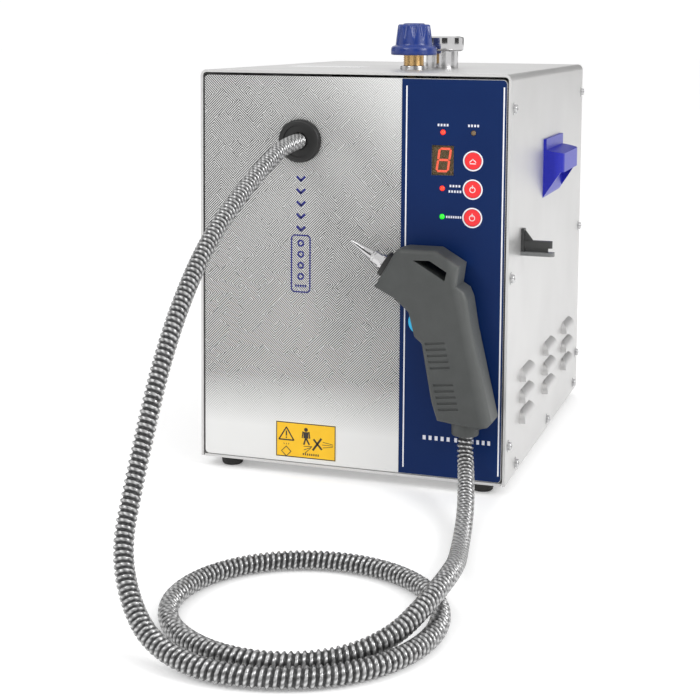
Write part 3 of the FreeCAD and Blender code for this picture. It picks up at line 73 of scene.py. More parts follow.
# Steam hose: a polymer hose in an armour of interlocked metal strip, wound as a shallow helix.
# It leaves the gland, falls to the floor, lies there in one open loop and rises into the gun.
HOSE_R = 0.0075
STRIP_PITCH = 0.0047
STRIP_STEP = 0.00085
STRIP_SHARPNESS = 1.7
RINGS_PER_TURN = 8
HOSE_SIDES = 18
hose_route = (
    (-0.049, -0.196, 0.320), (-0.049, -0.238, 0.320), (-0.049, -0.296, 0.304), (-0.050, -0.355, 0.281),
    (-0.051, -0.413, 0.253), (-0.051, -0.462, 0.215), (-0.051, -0.500, 0.172), (-0.051, -0.526, 0.129),
    (-0.051, -0.547, 0.092), (-0.048, -0.571, 0.058), (-0.030, -0.5945, 0.031), (-0.003, -0.617, 0.014),
    (0.038, -0.632, 0.008), (0.082, -0.630, 0.0075), (0.124, -0.613, 0.0075), (0.155, -0.580, 0.0075),
    (0.170, -0.538, 0.0075), (0.168, -0.494, 0.0075), (0.149, -0.455, 0.0075), (0.114, -0.426, 0.0075),
    (0.069, -0.416, 0.0075), (0.025, -0.426, 0.0075), (-0.010, -0.454, 0.0075), (-0.029, -0.495, 0.0075),
    (-0.028, -0.540, 0.0075), (-0.006, -0.579, 0.0075), (0.035, -0.6055, 0.0075), (0.080, -0.6085, 0.0075),
    (0.122, -0.590, 0.009), (0.149, -0.559, 0.015), (0.162, -0.523, 0.026), (0.166, -0.486, 0.0295),
    (0.164, -0.449, 0.026), (0.1575, -0.411, 0.0175), (0.1495, -0.370, 0.011), (0.142, -0.328, 0.0105),
    (0.135, -0.290, 0.015), (0.128, -0.259, 0.0235), (0.121, -0.2315, 0.034), (0.117, -0.219, 0.051),
    (0.117, -0.219, 0.072))


def new_piece(name, shape):
    """Turns a bmesh into an object of the scene."""
    mesh = bpy.data.meshes.new(name)
    shape.to_mesh(mesh)
    shape.free()
    piece = bpy.data.objects.new(name, mesh)
    bpy.context.scene.collection.objects.link(piece)
    return piece


def soften(shape, crease):
    """Smooth shading everywhere but across the sharp edges."""
    for face in shape.faces:
        face.smooth = True
    for edge in shape.edges:
        edge.smooth = len(edge.link_faces) < 2 or edge.calc_face_angle(0.0) < math.radians(crease)


hose_line = bpy.data.curves.new("hose_line", "CURVE")
hose_line.dimensions = "3D"
spline = hose_line.splines.new("NURBS")
spline.points.add(len(hose_route) - 1)
for point, place in zip(spline.points, hose_route):
    point.co = (*place, 1.0)
spline.order_u = 3
spline.use_endpoint_u = True
hose_line.resolution_u = 32
guide = bpy.data.objects.new("hose_line", hose_line)
centres = [v.co.copy() for v in bpy.data.meshes.new_from_object(guide).vertices]
bpy.data.objects.remove(guide)

travelled = [0.0]
for a, b in zip(centres, centres[1:]):
    travelled.append(travelled[-1] + (b - a).length)
hose_length = travelled[-1]
ring_count = int(hose_length / STRIP_PITCH * RINGS_PER_TURN)
rings = []
across = Vector((1.0, 0.0, 0.0))
segment = 0
for i in range(ring_count + 1):
    reach = hose_length * i / ring_count
    while segment < len(centres) - 2 and travelled[segment + 1] < reach:
        segment += 1
    run = centres[segment + 1] - centres[segment]
    share = (reach - travelled[segment]) / run.length
    heading = run.normalized()
    across = (across - heading * across.dot(heading)).normalized()
    rings.append((centres[segment] + run * share, across, heading.cross(across), reach))

shape = bmesh.new()
bmesh.ops.create_grid(shape, x_segments=ring_count, y_segments=HOSE_SIDES, size=1.0)
strip_map = shape.loops.layers.uv.new("strip")
for face in shape.faces:
    for loop in face.loops:
        x, y, _ = loop.vert.co
        loop[strip_map].uv = ((y + 1.0) / 2.0, (x + 1.0) / 2.0 * hose_length / STRIP_PITCH)
for vert in shape.verts:
    i = round((vert.co.x + 1.0) / 2.0 * ring_count)
    around = (vert.co.y + 1.0) * math.pi
    centre, side, other, reach = rings[i]
    wave = math.cos(around + 2.0 * math.pi * reach / STRIP_PITCH)
    radius = HOSE_R - STRIP_STEP * (1.0 - max(-1.0, min(1.0, STRIP_SHARPNESS * wave)))
    vert.co = centre + (side * math.cos(around) + other * math.sin(around)) * radius
bmesh.ops.remove_doubles(shape, verts=shape.verts, dist=1e-6)
bmesh.ops.holes_fill(shape, edges=[e for e in shape.edges if e.is_boundary], sides=0)
bmesh.ops.recalc_face_normals(shape, faces=shape.faces)
soften(shape, 50.0)
armoured_hose = new_piece("armoured_hose", shape)


class Term:
    """A number, colour or vector that runs through a finish's nodes."""

    def __init__(self, skin, socket=None):
        self.skin = skin
        self.socket = socket

    def node(self, kind, settings=None, inputs=None, out=0):
        """Any node: its settings first, then the values or links of its sockets."""
        made = self.skin.node_tree.nodes.new("ShaderNode" + kind)
        for name, value in (settings or {}).items():
            setattr(made, name, value)
        for name, value in (inputs or {}).items():
            if isinstance(value, Term):
                self.skin.node_tree.links.new(value.socket, made.inputs[name])
            else:
                made.inputs[name].default_value = value
        return Term(self.skin, made.outputs[out])

    def maths(self, operation, *values):
        return self.node("Math", {"operation": operation}, dict(enumerate(values)))

    def __add__(self, other):
        return self.maths("ADD", self, other)

    def __radd__(self, other):
        return self.maths("ADD", other, self)

    def __sub__(self, other):
        return self.maths("SUBTRACT", self, other)

    def __rsub__(self, other):
        return self.maths("SUBTRACT", other, self)

    def __mul__(self, other):
        return self.maths("MULTIPLY", self, other)

    def __rmul__(self, other):
        return self.maths("MULTIPLY", other, self)

    def __truediv__(self, other):
        return self.maths("DIVIDE", self, other)

    def __gt__(self, other):
        return self.maths("GREATER_THAN", self, other)

    def __lt__(self, other):
        return self.maths("LESS_THAN", self, other)

    def __abs__(self):
        return self.maths("ABSOLUTE", self)

    def sine(self):
        return self.maths("SINE", self)

    def root(self):
        return self.maths("SQRT", self)

    def at_least(self, low):
        return self.maths("MAXIMUM", self, low)

    def clamped(self):
        return self.maths("MINIMUM", self.at_least(0.0), 1.0)

    def power(self, exponent):
        return self.maths("POWER", self, exponent)

    def between(self, low, high):
        return (self > low) * (self < high)

    def parts(self):
        return [self.node("SeparateXYZ", None, {0: self}, axis) for axis in range(3)]

    def stretched(self, x, y, z):
        return self.node("VectorMath", {"operation": "MULTIPLY"}, {0: self, 1: (x, y, z)})

    def noise(self, size, detail=2.0):
        """Smooth random value whose features are about this many metres wide."""
        return self.node("TexNoise", None, {"Vector": self, "Scale": 1.0 / size, "Detail": detail})

    def blend(self, low, high):
        """From one colour to another as this number goes from 0 to 1."""
        ends = [end if isinstance(end, Term) else (*end, 1.0) for end in (low, high)]
        return self.node("Mix", {"data_type": "RGBA"}, {0: self, 6: ends[0], 7: ends[1]}, 2)

    def range(self, low, high):
        """This number from 0 to 1 carried to another range."""
        return self * (high - low) + low

    def finish(self, colour, rough, metal=0.0, relief=None, depth=0.0001, **fixed):
        """Ends the material: surface, relief and the fixed values of the shader."""
        shader = self.skin.node_tree.nodes["Principled BSDF"]
        values = {"Base Color": colour, "Roughness": rough, "Metallic": metal}
        if relief is not None:
            values["Normal"] = self.node("Bump", None, {"Height": relief, "Distance": depth})
        values.update({name.replace("_", " "): value for name, value in fixed.items()})
        for name, value in values.items():
            if isinstance(value, Term):
                self.skin.node_tree.links.new(value.socket, shader.inputs[name])
            elif isinstance(value, tuple) and len(value) == 3:
                shader.inputs[name].default_value = (*value, 1.0)
            else:
                shader.inputs[name].default_value = value
        return self.skin


def new_finish(name):
    """Starts a material and gives the place on the piece, in metres."""
    skin = bpy.data.materials.new(name)
    skin.use_nodes = True
    return Term(skin).node("TexCoord", None, None, 3)


def dress(piece, skin):
    """Gives a piece or a CAD node one material."""
    piece.data.materials.clear()
    piece.data.materials.append(skin)


FACETS_ROUND = 11.0
place = new_finish("armour")
strip = place.node("UVMap", {"uv_map": "strip"})
turn, along, _ = strip.parts()
wave = ((turn + along) * (2.0 * math.pi) + math.pi / 2.0).sine()
crest = (wave * 0.9 + 0.5).clamped()
wear = place.noise(0.004, 4.0)
facet = ((turn * FACETS_ROUND + along * 0.5) * (2.0 * math.pi)).sine()
# Colour: the strip's crests are painted bright as painted highlights, and its grooves near black as painted
# shade. The facet cells are painted glints along the crests, and the noise is wear.
crest_glint_and_wear = (crest * 0.55 + crest * facet * 0.22 + wear * 0.4 - 0.22).at_least(0.0)
armour = place.finish(crest_glint_and_wear.blend((0.030, 0.030, 0.031), (0.80, 0.80, 0.80)), wear.range(0.20, 0.38),
                      crest.range(0.35, 0.95), facet * crest * 0.5 + place.noise(0.0006, 2.0), 0.00010)
dress(armoured_hose, armour)
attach(armoured_hose, "root")
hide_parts("steam_hose")


# Studio: a pale floor that runs far back, a white sky and two large soft lamps.
# Dark screens stand round the sky's foot; only reflections show them, as streaks in metal.
FLOOR_HALF, FLOOR_DROP = 20.0, 0.0004
SCREENS_ROUND, SCREEN_TURN, SCREEN_GAP = 5.0, 0.9, 0.25
SCREEN_MIDDLE, SCREEN_REACH, SCREEN_DARKNESS = 0.22, 0.26, 0.93
SKY_LIGHT, SKY_SEEN = 0.95, 1.05
shape = bmesh.new()
bmesh.ops.create_grid(shape, x_segments=1, y_segments=1, size=FLOOR_HALF)
bmesh.ops.translate(shape, verts=shape.verts, vec=(0.0, 0.0, -FLOOR_DROP))
floor = new_piece("floor", shape)
place = new_finish("floor_paper")
dress(floor, place.finish(place.noise(0.5).blend((0.90, 0.90, 0.90), (0.93, 0.93, 0.93)), 0.9,
                          Specular_IOR_Level=0.0, Emission_Color=(1.0, 1.0, 1.0), Emission_Strength=0.22))
sky = bpy.data.worlds.new("sky")
sky.use_nodes = True
heading = Term(sky).node("TexCoord", None, None, 0)
x, y, z = heading.parts()
bearing = x.maths("ARCTAN2", x, y)
screens = (bearing * SCREENS_ROUND + SCREEN_TURN).sine() > SCREEN_GAP
screens = screens * (abs(z - SCREEN_MIDDLE) < SCREEN_REACH)
seen = heading.node("LightPath")
light = (1.0 - screens * SCREEN_DARKNESS) * SKY_LIGHT
backdrop = sky.node_tree.nodes["Background"]
brightness = light * (1.0 - seen) + seen * SKY_SEEN
sky.node_tree.links.new(brightness.socket, backdrop.inputs["Strength"])
backdrop.inputs["Color"].default_value = (1.0, 1.0, 1.0, 1.0)
bpy.context.scene.world = sky
bpy.context.scene.view_settings.view_transform = "Standard"
for name, power, width, stand, aim in (
        ("key_lamp", 12.0, 0.9, (-0.9, -1.9, 1.7), (0.0, -0.1, 0.2)),
        ("side_lamp", 15.0, 0.8, (1.7, -0.7, 1.2), (0.1, 0.0, 0.2))):
    lamp = bpy.data.lights.new(name, "AREA")
    lamp.energy = power
    lamp.size = width
    holder = bpy.data.objects.new(name, lamp)
    holder.location = stand
    holder.rotation_euler = (Vector(aim) - Vector(stand)).to_track_quat("-Z", "Y").to_euler()
    bpy.context.scene.collection.objects.link(holder)


# Outer cover: one sheet of satin stainless steel folded over the top and both sides.
# Its louvres are pressed outwards, and a hem folds the front and rear edges back.
def refined(name, node, skin, crease=35.0):
    """A CAD piece's own shape with its triangles joined, so that round faces shade smoothly."""
    shape = bmesh.new()
    shape.from_mesh(frame["nodes"][node].data)
    bmesh.ops.remove_doubles(shape, verts=shape.verts, dist=1e-6)
    bmesh.ops.dissolve_limit(shape, angle_limit=math.radians(0.5), verts=shape.verts, edges=shape.edges)
    soften(shape, crease)
    piece = new_piece(name, shape)
    evened = piece.modifiers.new("evened", "WEIGHTED_NORMAL")
    evened.keep_sharp = True
    dress(piece, skin)
    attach(piece, body_of[node])
    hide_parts(node)
    return piece


body_of = {node: body for body, nodes in frame["record"]["behaviour"]["bodies"].items() for node in nodes}

place = new_finish("satin_steel")
brushed = place.stretched(1.0, 0.06, 1.0).noise(0.0009, 3.0)
cloud = place.noise(0.09, 2.0)
satin_steel = place.finish((brushed * 0.35 + cloud * 0.65).blend((0.52, 0.515, 0.51), (0.70, 0.695, 0.69)),
                           brushed.range(0.30, 0.48), 0.72, brushed * 0.6 + cloud * 0.4, 0.00002)
refined("cabinet_cover", "outer_cover", satin_steel)
refined("floor_tray", "base_tray", satin_steel)
refined("back_panel", "rear_panel", satin_steel)


# Front panel: stainless sheet embossed with a fine linen weave, folded back on four sides.
# The weave is worn smooth towards the bottom, where the caution label is stuck.
WEAVE_PITCH, WEAVE_PATCH = 0.0017, 0.022
WORN_BELOW, WORN_FADE = 0.045, 0.05
GLARE_FROM, GLARE_FADE = 0.32, 0.09
place = new_finish("linen_steel")
x, _, z = place.parts()
step = 2.0 * math.pi / WEAVE_PITCH
wander = place.noise(0.03, 1.0)
rising = ((x + z) * step / math.sqrt(2.0) + wander * 1.2).sine()
falling = ((x - z) * step / math.sqrt(2.0) - wander * 1.2).sine()
patch = place.stretched(1.0, 1.0, 0.9).noise(WEAVE_PATCH, 1.0) > 0.5
weave = rising * patch + falling * (1.0 - patch)
# The weave's grooves are painted near black in the colour, as painted shade, besides their relief.
groove = (weave * -0.9 + 0.5).clamped()
fade = ((z - WORN_BELOW) / WORN_FADE).clamped()
# The panel's upper right is painted paler, with shallower groove shade: a painted highlight.
glare = ((x * 0.9 + z - GLARE_FROM) / GLARE_FADE).clamped()
# The clouds scale the painted groove shade and darken the colour where they are low: painted reflections.
cloud = place.stretched(1.0, 1.0, 0.8).noise(0.10, 2.0)
groove_shade_depth = fade * (1.0 - glare * 0.72) * cloud.range(0.55, 1.35)
painted_light_tone = 0.90 - groove_shade_depth * groove * 0.84 - fade * (1.0 - glare) * (1.0 - cloud) * 0.12
linen_steel = place.finish(painted_light_tone.at_least(0.0).blend((0.004, 0.004, 0.004), (0.84, 0.84, 0.83)),
                           cloud.range(0.34, 0.50), 0.25, groove * fade * -1.0 + place.noise(0.0006) * 0.3,
                           0.00010)
refined("front_plate", "front_panel", linen_steel)


# Control film: a printed self-adhesive film over the right third of the front panel.
# Two white lines run down it, and a white ring is printed round each key's hole.
FILM_LINES = ((0.0529, 0.0541), (0.1428, 0.1441))
LINE_TOP, LINE_FOOT = 0.3735, 0.019
KEY_X = 0.1159
KEY_HEIGHTS = (0.3068, 0.2810, 0.2553)
KEY_RING = (0.0070, 0.0092)
place = new_finish("navy_film")
x, _, z = place.parts()
ink = (x.between(*FILM_LINES[0]) + x.between(*FILM_LINES[1])) * z.between(LINE_FOOT, LINE_TOP)
for height in KEY_HEIGHTS:
    reach = ((x - KEY_X).power(2.0) + (z - height).power(2.0)).root()
    ink = ink + reach.between(*KEY_RING)
speck = place.noise(0.0008, 2.0)
navy = (place.noise(0.06) * 0.7 + speck * 0.3).blend((0.0020, 0.014, 0.078), (0.0040, 0.024, 0.112))
navy_film = place.finish(ink.blend(navy, (0.88, 0.88, 0.92)), speck.range(0.30, 0.42), 0.0, speck, 0.00001,
                         Specular_IOR_Level=0.12)
dress(frame["nodes"]["control_film"], navy_film)


# Printed marks: plain blocks and signs stand where captions would be, each a film of ink.
# Nothing on the cabinet is lettered.
FACE_Y = -0.199
FILM_Y = -0.1994
INK = 0.00006
ARROW_TOP, ARROW_PITCH = 0.2845, 0.0118
RING_TOP, RING_PITCH = 0.2235, 0.0105


def bar(shape, x, z, width, height, face, turn=0.0, lean=0.0):
    """One block of ink on an upright face, turned or leaning in the plane of that face."""
    matrix = Matrix.Translation((x, face - INK / 2.0, z)) @ Matrix.Rotation(turn, 4, "Y")
    if lean:
        matrix = matrix @ Matrix(((1, 0, lean, 0), (0, 1, 0, 0), (0, 0, 1, 0), (0, 0, 0, 1)))
    bmesh.ops.create_cube(shape, size=1.0, matrix=matrix @ Matrix.Diagonal((width, INK, height, 1.0)))


def turned(shape, profile, centre, axis, segments, closed=False):
    """Lathe work: (radius, distance along the axis) points in metres, spun once round."""
    axis = Vector(axis).normalized()
    side = axis.orthogonal().normalized()
    first = len(shape.verts)
    points = [shape.verts.new(Vector(centre) + side * radius + axis * along) for radius, along in profile]
    pairs = list(zip(points, points[1:]))
    if closed:
        pairs.append((points[-1], points[0]))
    edges = [shape.edges.new(pair) for pair in pairs]
    bmesh.ops.spin(shape, geom=points + edges, cent=centre, axis=axis, angle=2.0 * math.pi, steps=segments,
                   use_merge=True)
    shape.verts.ensure_lookup_table()
    made = shape.verts[first:]
    bmesh.ops.remove_doubles(shape, verts=made, dist=1e-8)


def hoop(shape, x, z, inner, outer, face, segments):
    """A flat ring of ink, or a disc when its inner radius is nothing."""
    section = ((inner, 0.0), (outer, 0.0), (outer, INK), (inner, INK))
    turned(shape, section, (x, face, z), (0, -1, 0), segments, True)


def word(shape, x, z, width, height, letters, face, gap=0.28):
    """A row of small blocks as wide as a word."""
    step = width / letters
    for i in range(letters):
        bar(shape, x - width / 2.0 + step * (i + 0.5), z, step * (1.0 - gap), height, face)


def printed(name, shape, colour, body="root", glow=0.0):
    """Ends a set of marks: one piece of one ink."""
    bmesh.ops.recalc_face_normals(shape, faces=shape.faces)
    piece = new_piece(name, shape)
    place = new_finish(name + "_ink")
    tint = place.noise(0.002)
    low = tuple(channel * 0.88 for channel in colour)
    extra = {"Emission_Color": colour, "Emission_Strength": glow} if glow else {}
    dress(piece, place.finish(tint.blend(low, colour), tint.range(0.35, 0.5), **extra))
    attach(piece, body)


shape = bmesh.new()
word(shape, 0.0877, 0.3385, 0.0112, 0.0022, 4, FILM_Y, 0.4)
word(shape, 0.1159, 0.3385, 0.0112, 0.0022, 4, FILM_Y, 0.4)
word(shape, 0.0995, 0.2835, 0.0110, 0.0021, 4, FILM_Y, 0.4)
word(shape, 0.0995, 0.2785, 0.0128, 0.0021, 5, FILM_Y, 0.4)
word(shape, 0.0987, 0.2552, 0.0150, 0.0021, 7, FILM_Y, 0.4)
word(shape, 0.0850, 0.0490, 0.0285, 0.0040, 5, FILM_Y, 0.5)
word(shape, 0.1190, 0.0490, 0.0360, 0.0040, 7, FILM_Y, 0.5)
printed("film_captions", shape, (0.78, 0.79, 0.88))

shape = bmesh.new()
for i in range(5):
    z = ARROW_TOP - i * ARROW_PITCH
    bar(shape, -0.0504, z, 0.0064, 0.0023, FACE_Y, 0.75)
    bar(shape, -0.0466, z, 0.0064, 0.0023, FACE_Y, -0.75)
for x, z, width, height in ((-0.0485, 0.2310, 0.0150, 0.0014), (-0.0485, 0.1772, 0.0150, 0.0014),
                            (-0.0577, 0.2041, 0.0014, 0.0490), (-0.0393, 0.2041, 0.0014, 0.0490)):
    bar(shape, x, z, width, height, FACE_Y)
for x, z, turn in ((-0.0566, 0.2299, -0.785), (-0.0404, 0.2299, 0.785), (-0.0566, 0.1783, 0.785),
                   (-0.0404, 0.1783, -0.785)):
    bar(shape, x, z, 0.0036, 0.0014, FACE_Y, turn)
for i in range(4):
    hoop(shape, -0.0485, RING_TOP - i * RING_PITCH, 0.0017, 0.0034, FACE_Y, 24)
word(shape, -0.0485, 0.1828, 0.0120, 0.0024, 5, FACE_Y)
printed("panel_marks", shape, (0.003, 0.005, 0.17))


# Labels: a yellow caution label with a black border on the front and a plain one on top.
# The signs on it are a triangle, a lozenge, and a figure beside a crossed-out jet.
LABEL_X, LABEL_Z = -0.0427, 0.03415
LABEL_Y = -0.19925
HALF_WIDE, HALF_HIGH = 0.0300, 0.0170
YELLOW_WIDE, YELLOW_HIGH = 0.0290, 0.0160
TOP_LABEL_Y = -0.05
place = new_finish("label_film")
x, y, z = place.parts()
side_way = abs(x - LABEL_X)
up_way = abs(z - LABEL_Z)
field = (side_way < HALF_WIDE) * (up_way < HALF_HIGH)
border = field - (side_way < YELLOW_WIDE) * (up_way < YELLOW_HIGH)
aged = place.noise(0.01)
yellow = aged.blend((0.86, 0.47, 0.0), (0.93, 0.56, 0.005))
front_print = border.blend(field.blend((0.80, 0.78, 0.66), yellow), (0.05, 0.03, 0.01))
on_top = z > 0.2
along = abs(y - TOP_LABEL_Y)
stripe = (along < 0.0140) * (1.0 - (along < 0.0132))
top_print = stripe.blend(aged.blend((0.72, 0.72, 0.72), (0.80, 0.80, 0.80)), (0.10, 0.11, 0.16))
label_film = place.finish(on_top.blend(front_print, top_print), aged.range(0.32, 0.45), 0.0,
                          aged, 0.00002)
dress(frame["nodes"]["labels"], label_film)
shape = bmesh.new()
for x, z, width, turn in ((-0.0622, 0.0337, 0.0150, 0.0), (-0.0660, 0.0398, 0.0148, -1.02),
                          (-0.0584, 0.0398, 0.0148, 1.02)):
    bar(shape, x, z, width, 0.0013, LABEL_Y, turn)
bar(shape, -0.0622, 0.0400, 0.0013, 0.0050, LABEL_Y)
bar(shape, -0.0622, 0.0360, 0.0013, 0.0013, LABEL_Y)
for x, z, turn in ((-0.0647, 0.0250, 0.785), (-0.0599, 0.0250, -0.785), (-0.0647, 0.0202, -0.785),
                   (-0.0599, 0.0202, 0.785)):
    bar(shape, x, z, 0.0072, 0.0007, LABEL_Y, -turn)
for i in range(3):
    bar(shape, -0.0645 + i * 0.0023, 0.0298, 0.0005, 0.0016, LABEL_Y, (i - 1) * 0.4)
hoop(shape, -0.0424, 0.0450, 0.0, 0.0019, LABEL_Y, 24)
bar(shape, -0.0424, 0.0397, 0.0050, 0.0062, LABEL_Y)
bar(shape, -0.0458, 0.0400, 0.0012, 0.0066, LABEL_Y, 0.12)
bar(shape, -0.0390, 0.0400, 0.0012, 0.0066, LABEL_Y, -0.12)
bar(shape, -0.0436, 0.0335, 0.0016, 0.0066, LABEL_Y, 0.3)
bar(shape, -0.0405, 0.0335, 0.0016, 0.0066, LABEL_Y, -0.5)
bar(shape, -0.0312, 0.0318, 0.0150, 0.0020, LABEL_Y, -0.95)
bar(shape, -0.0306, 0.0318, 0.0128, 0.0018, LABEL_Y, 0.85)
for turn, length in ((0.16, 0.010), (0.0, 0.011), (-0.16, 0.010)):
    bar(shape, -0.0205, 0.0318 + turn * 0.012, length, 0.0005, LABEL_Y, turn)
for turn in (-0.35, 0.0, 0.35):
    bar(shape, -0.0405, 0.0270 + turn * 0.006, 0.0085, 0.0006, LABEL_Y, turn - 0.4)
word(shape, -0.0375, 0.0212, 0.0170, 0.0020, 8, LABEL_Y, 0.45)
printed("caution_signs", shape, (0.02, 0.015, 0.01))


# Cover screws: pan-head machine screws with plain washers, bright zinc plated.
# They hold the cover to the panels and to the tray along both sides.
place = new_finish("bright_plate")
scuff = place.noise(0.0012, 3.0)
bright_plate = place.finish(scuff.blend((0.34, 0.34, 0.34), (0.80, 0.80, 0.81)),
                            scuff.range(0.08, 0.24), 1.0, scuff, 0.00002)
refined("side_screws", "cover_screws", bright_plate, 40.0)
dress(frame["nodes"]["bracket_screws"], bright_plate)
dress(frame["nodes"]["gun_screws"], bright_plate)


# Feet: four push-in rubber buttons under the tray, a little narrower where they stand.
# The rubber is matt, with dust in its pores.
place = new_finish("foot_rubber")
pore = place.noise(0.0007, 4.0)
foot_rubber = place.finish(pore.blend((0.012, 0.012, 0.012), (0.035, 0.034, 0.033)),
                           pore.range(0.7, 0.9), 0.0, pore, 0.00008)
refined("push_feet", "rubber_feet", foot_rubber)


# Digit display: a one-digit module with seven slanted bars and a point, behind a smoked window.
# Every bar is lit; the point is not.
DIGIT_X, DIGIT_Z = 0.0882, 0.3067
DIGIT_LEAN = 0.14
DIGIT_Y = -0.19725
SEGMENT_R, SEGMENT_T = 0.00115, 0.00012
UPRIGHT = 1.5708
place = new_finish("module_face")
grain = place.noise(0.0006)
module_face = place.finish(grain.blend((0.13, 0.085, 0.035), (0.17, 0.115, 0.050)),
                           grain.range(0.5, 0.7), 0.0, grain, 0.00002)
dress(frame["nodes"]["display_module"], module_face)
shape = bmesh.new()
for across, up, length, turn in (
        (0.0, 0.0102, 0.0096, UPRIGHT), (0.0, 0.0, 0.0090, UPRIGHT), (0.0, -0.0102, 0.0096, UPRIGHT),
        (-0.0052, 0.0051, 0.0094, 0.0), (0.0052, 0.0051, 0.0094, 0.0),
        (-0.0052, -0.0051, 0.0094, 0.0), (0.0052, -0.0051, 0.0094, 0.0)):
    lit = bmesh.ops.create_cone(shape, cap_ends=True, segments=6, radius1=SEGMENT_R, radius2=SEGMENT_R,
                                depth=SEGMENT_T)
    for vert in lit["verts"]:
        vert.co.y += math.copysign(length / 2.0 - SEGMENT_R, vert.co.y)
    leaning = Matrix(((1, 0, DIGIT_LEAN, DIGIT_X), (0, 1, 0, DIGIT_Y), (0, 0, 1, DIGIT_Z), (0, 0, 0, 1)))
    stand = Matrix.Translation((across, 0.0, up)) @ Matrix.Rotation(turn, 4, "Y")
    stand = stand @ Matrix.Rotation(UPRIGHT, 4, "X")
    bmesh.ops.transform(shape, matrix=leaning @ stand, verts=lit["verts"])
printed("digit_bars", shape, (1.0, 0.115, 0.065), glow=1.3)
shape = bmesh.new()
hoop(shape, DIGIT_X + 0.0072, DIGIT_Z - 0.0106, 0.0, 0.0010, DIGIT_Y, 20)
printed("digit_point", shape, (0.33, 0.16, 0.12))
place = new_finish("smoked_window")
dust = place.noise(0.004)
smoked_window = place.finish(dust.blend((0.09, 0.07, 0.035), (0.12, 0.09, 0.05)),
                             dust.range(0.08, 0.2), Alpha=0.25, Specular_IOR_Level=0.2)
dress(frame["nodes"]["display_window"], smoked_window)


# Lamps: 5 mm domed lamps that stand a millimetre out of the film, all dyed through.
# The upper left and middle ones glow red, the lower one green, and the upper right one is off.
UNLIT_PAST_X = 0.1
place = new_finish("red_lens")
unlit = place.parts()[0] > UNLIT_PAST_X
swirl = place.noise(0.0015)
red = swirl.blend((0.75, 0.005, 0.003), (1.0, 0.06, 0.01))
glow = unlit.blend((1.0, 0.03, 0.008), (0.0, 0.0, 0.0))
red_lens = place.finish(unlit.blend(red, (0.16, 0.10, 0.045)), swirl.range(0.12, 0.25),
                        Coat_Weight=0.5, Emission_Color=glow, Emission_Strength=0.85)
refined("red_lamps", "led_red", red_lens)
place = new_finish("green_lens")
swirl = place.noise(0.0015)
green_lens = place.finish(swirl.blend((0.005, 0.70, 0.01), (0.05, 0.95, 0.03)), swirl.range(0.12, 0.25),
                          Coat_Weight=0.5, Emission_Color=(0.0, 1.0, 0.02), Emission_Strength=0.7)
refined("green_lamp", "led_green", green_lens)


# Keys: three round red push keys, each moulded with a flange behind the film that keeps it in.
# A white sign is printed on each: an arrow on the upper one, a switch sign on the others.
place = new_finish("key_plastic")
moulded = place.noise(0.0009, 3.0)
key_plastic = place.finish(moulded.blend((0.80, 0.004, 0.010), (0.92, 0.014, 0.020)),
                           moulded.range(0.28, 0.42), 0.0, moulded, 0.00002,
                           Coat_Weight=0.2, Coat_Roughness=0.15)
KEY_FACE = -0.2001
for node, height in zip(("key_value", "key_water", "key_heating"), KEY_HEIGHTS):
    refined(node + "_cap", node, key_plastic)
    shape = bmesh.new()
    if node == "key_value":
        bar(shape, KEY_X - 0.0013, height + 0.0004, 0.0046, 0.0008, KEY_FACE, -0.75)
        bar(shape, KEY_X + 0.0013, height + 0.0004, 0.0046, 0.0008, KEY_FACE, 0.75)
        bar(shape, KEY_X, height - 0.0024, 0.0056, 0.0008, KEY_FACE)
    else:
        hoop(shape, KEY_X, height - 0.0002, 0.0021, 0.0028, KEY_FACE, 28)
        bar(shape, KEY_X, height + 0.0024, 0.0008, 0.0030, KEY_FACE)
    printed(node + "_sign", shape, (0.88, 0.80, 0.80), node)


# Hose gland: a black moulded bush in the front panel, held from behind by its nut.
# The hose runs through it onto a brass fitting.
place = new_finish("black_moulding")
pit = place.noise(0.0008, 3.0)
black_moulding = place.finish(pit.blend((0.003, 0.003, 0.003), (0.010, 0.010, 0.010)),
                              pit.range(0.34, 0.52), 0.0, pit, 0.00003)
refined("gland_bush", "hose_gland", black_moulding)
refined("cable_gland", "mains_gland", black_moulding)
for node in ("gland_nut", "steam_valve", "pressure_switch", "feed_pump", "switch_frame", "power_rocker",
             "trigger_switch"):
    dress(frame["nodes"][node], black_moulding)


# Brass fittings: the hose fitting, the filler's neck, the safety valve and the rear fittings.
# Turned from bar, with a faint lathe grain and a warm, slightly dull skin.
place = new_finish("turned_brass")
lathe = place.stretched(0.2, 0.2, 6.0).noise(0.0012, 2.0)
tarnish = place.noise(0.006, 3.0)
turned_brass = place.finish((lathe * 0.4 + tarnish * 0.6).blend((0.42, 0.24, 0.085), (0.80, 0.55, 0.26)),
                            tarnish.range(0.16, 0.34), 1.0, lathe, 0.00003)
refined("filler_pipe", "filler_neck", turned_brass)
refined("rear_inlet", "water_inlet", turned_brass)
refined("rear_drain", "drain_valve", turned_brass)
for node in ("hose_fitting", "safety_valve"):
    dress(frame["nodes"][node], turned_brass)
refined("drain_handle", "drain_lever", bright_plate)


# Filler cap: a blue moulded hand cap over a brass neck, with a broad flange to grip.
# Twelve scoops are cut into its crown and run out half-way down.
FILLER = Vector((0.031, -0.096, 0.0))
SCOOPS = 12
SCOOP_DEPTH = 0.0026
SCOOP_POINT = 0.4140
SCOOP_WIDTH, SCOOP_SWELL = 0.44, 0.8
CAP_SIDE_FOOT, CAP_SIDE_TOP = 0.4092, 0.4280
CAP_SIDE_R, CAP_SIDE_SPREAD = 0.0160, 0.0020
CROWN_R, CROWN_TOP = 0.0125, 0.4295
SIDE_RINGS = 14
profile = [(0.0, 0.4302), (0.0085, 0.4302), (0.0100, 0.4298), (0.0106, 0.4291), (0.0128, 0.4290),
           (0.0148, 0.4289)]
for i in range(SIDE_RINGS + 1):
    share = i / SIDE_RINGS
    profile.append((CAP_SIDE_R + CAP_SIDE_SPREAD * share,
                    CAP_SIDE_TOP + (CAP_SIDE_FOOT - CAP_SIDE_TOP) * share))
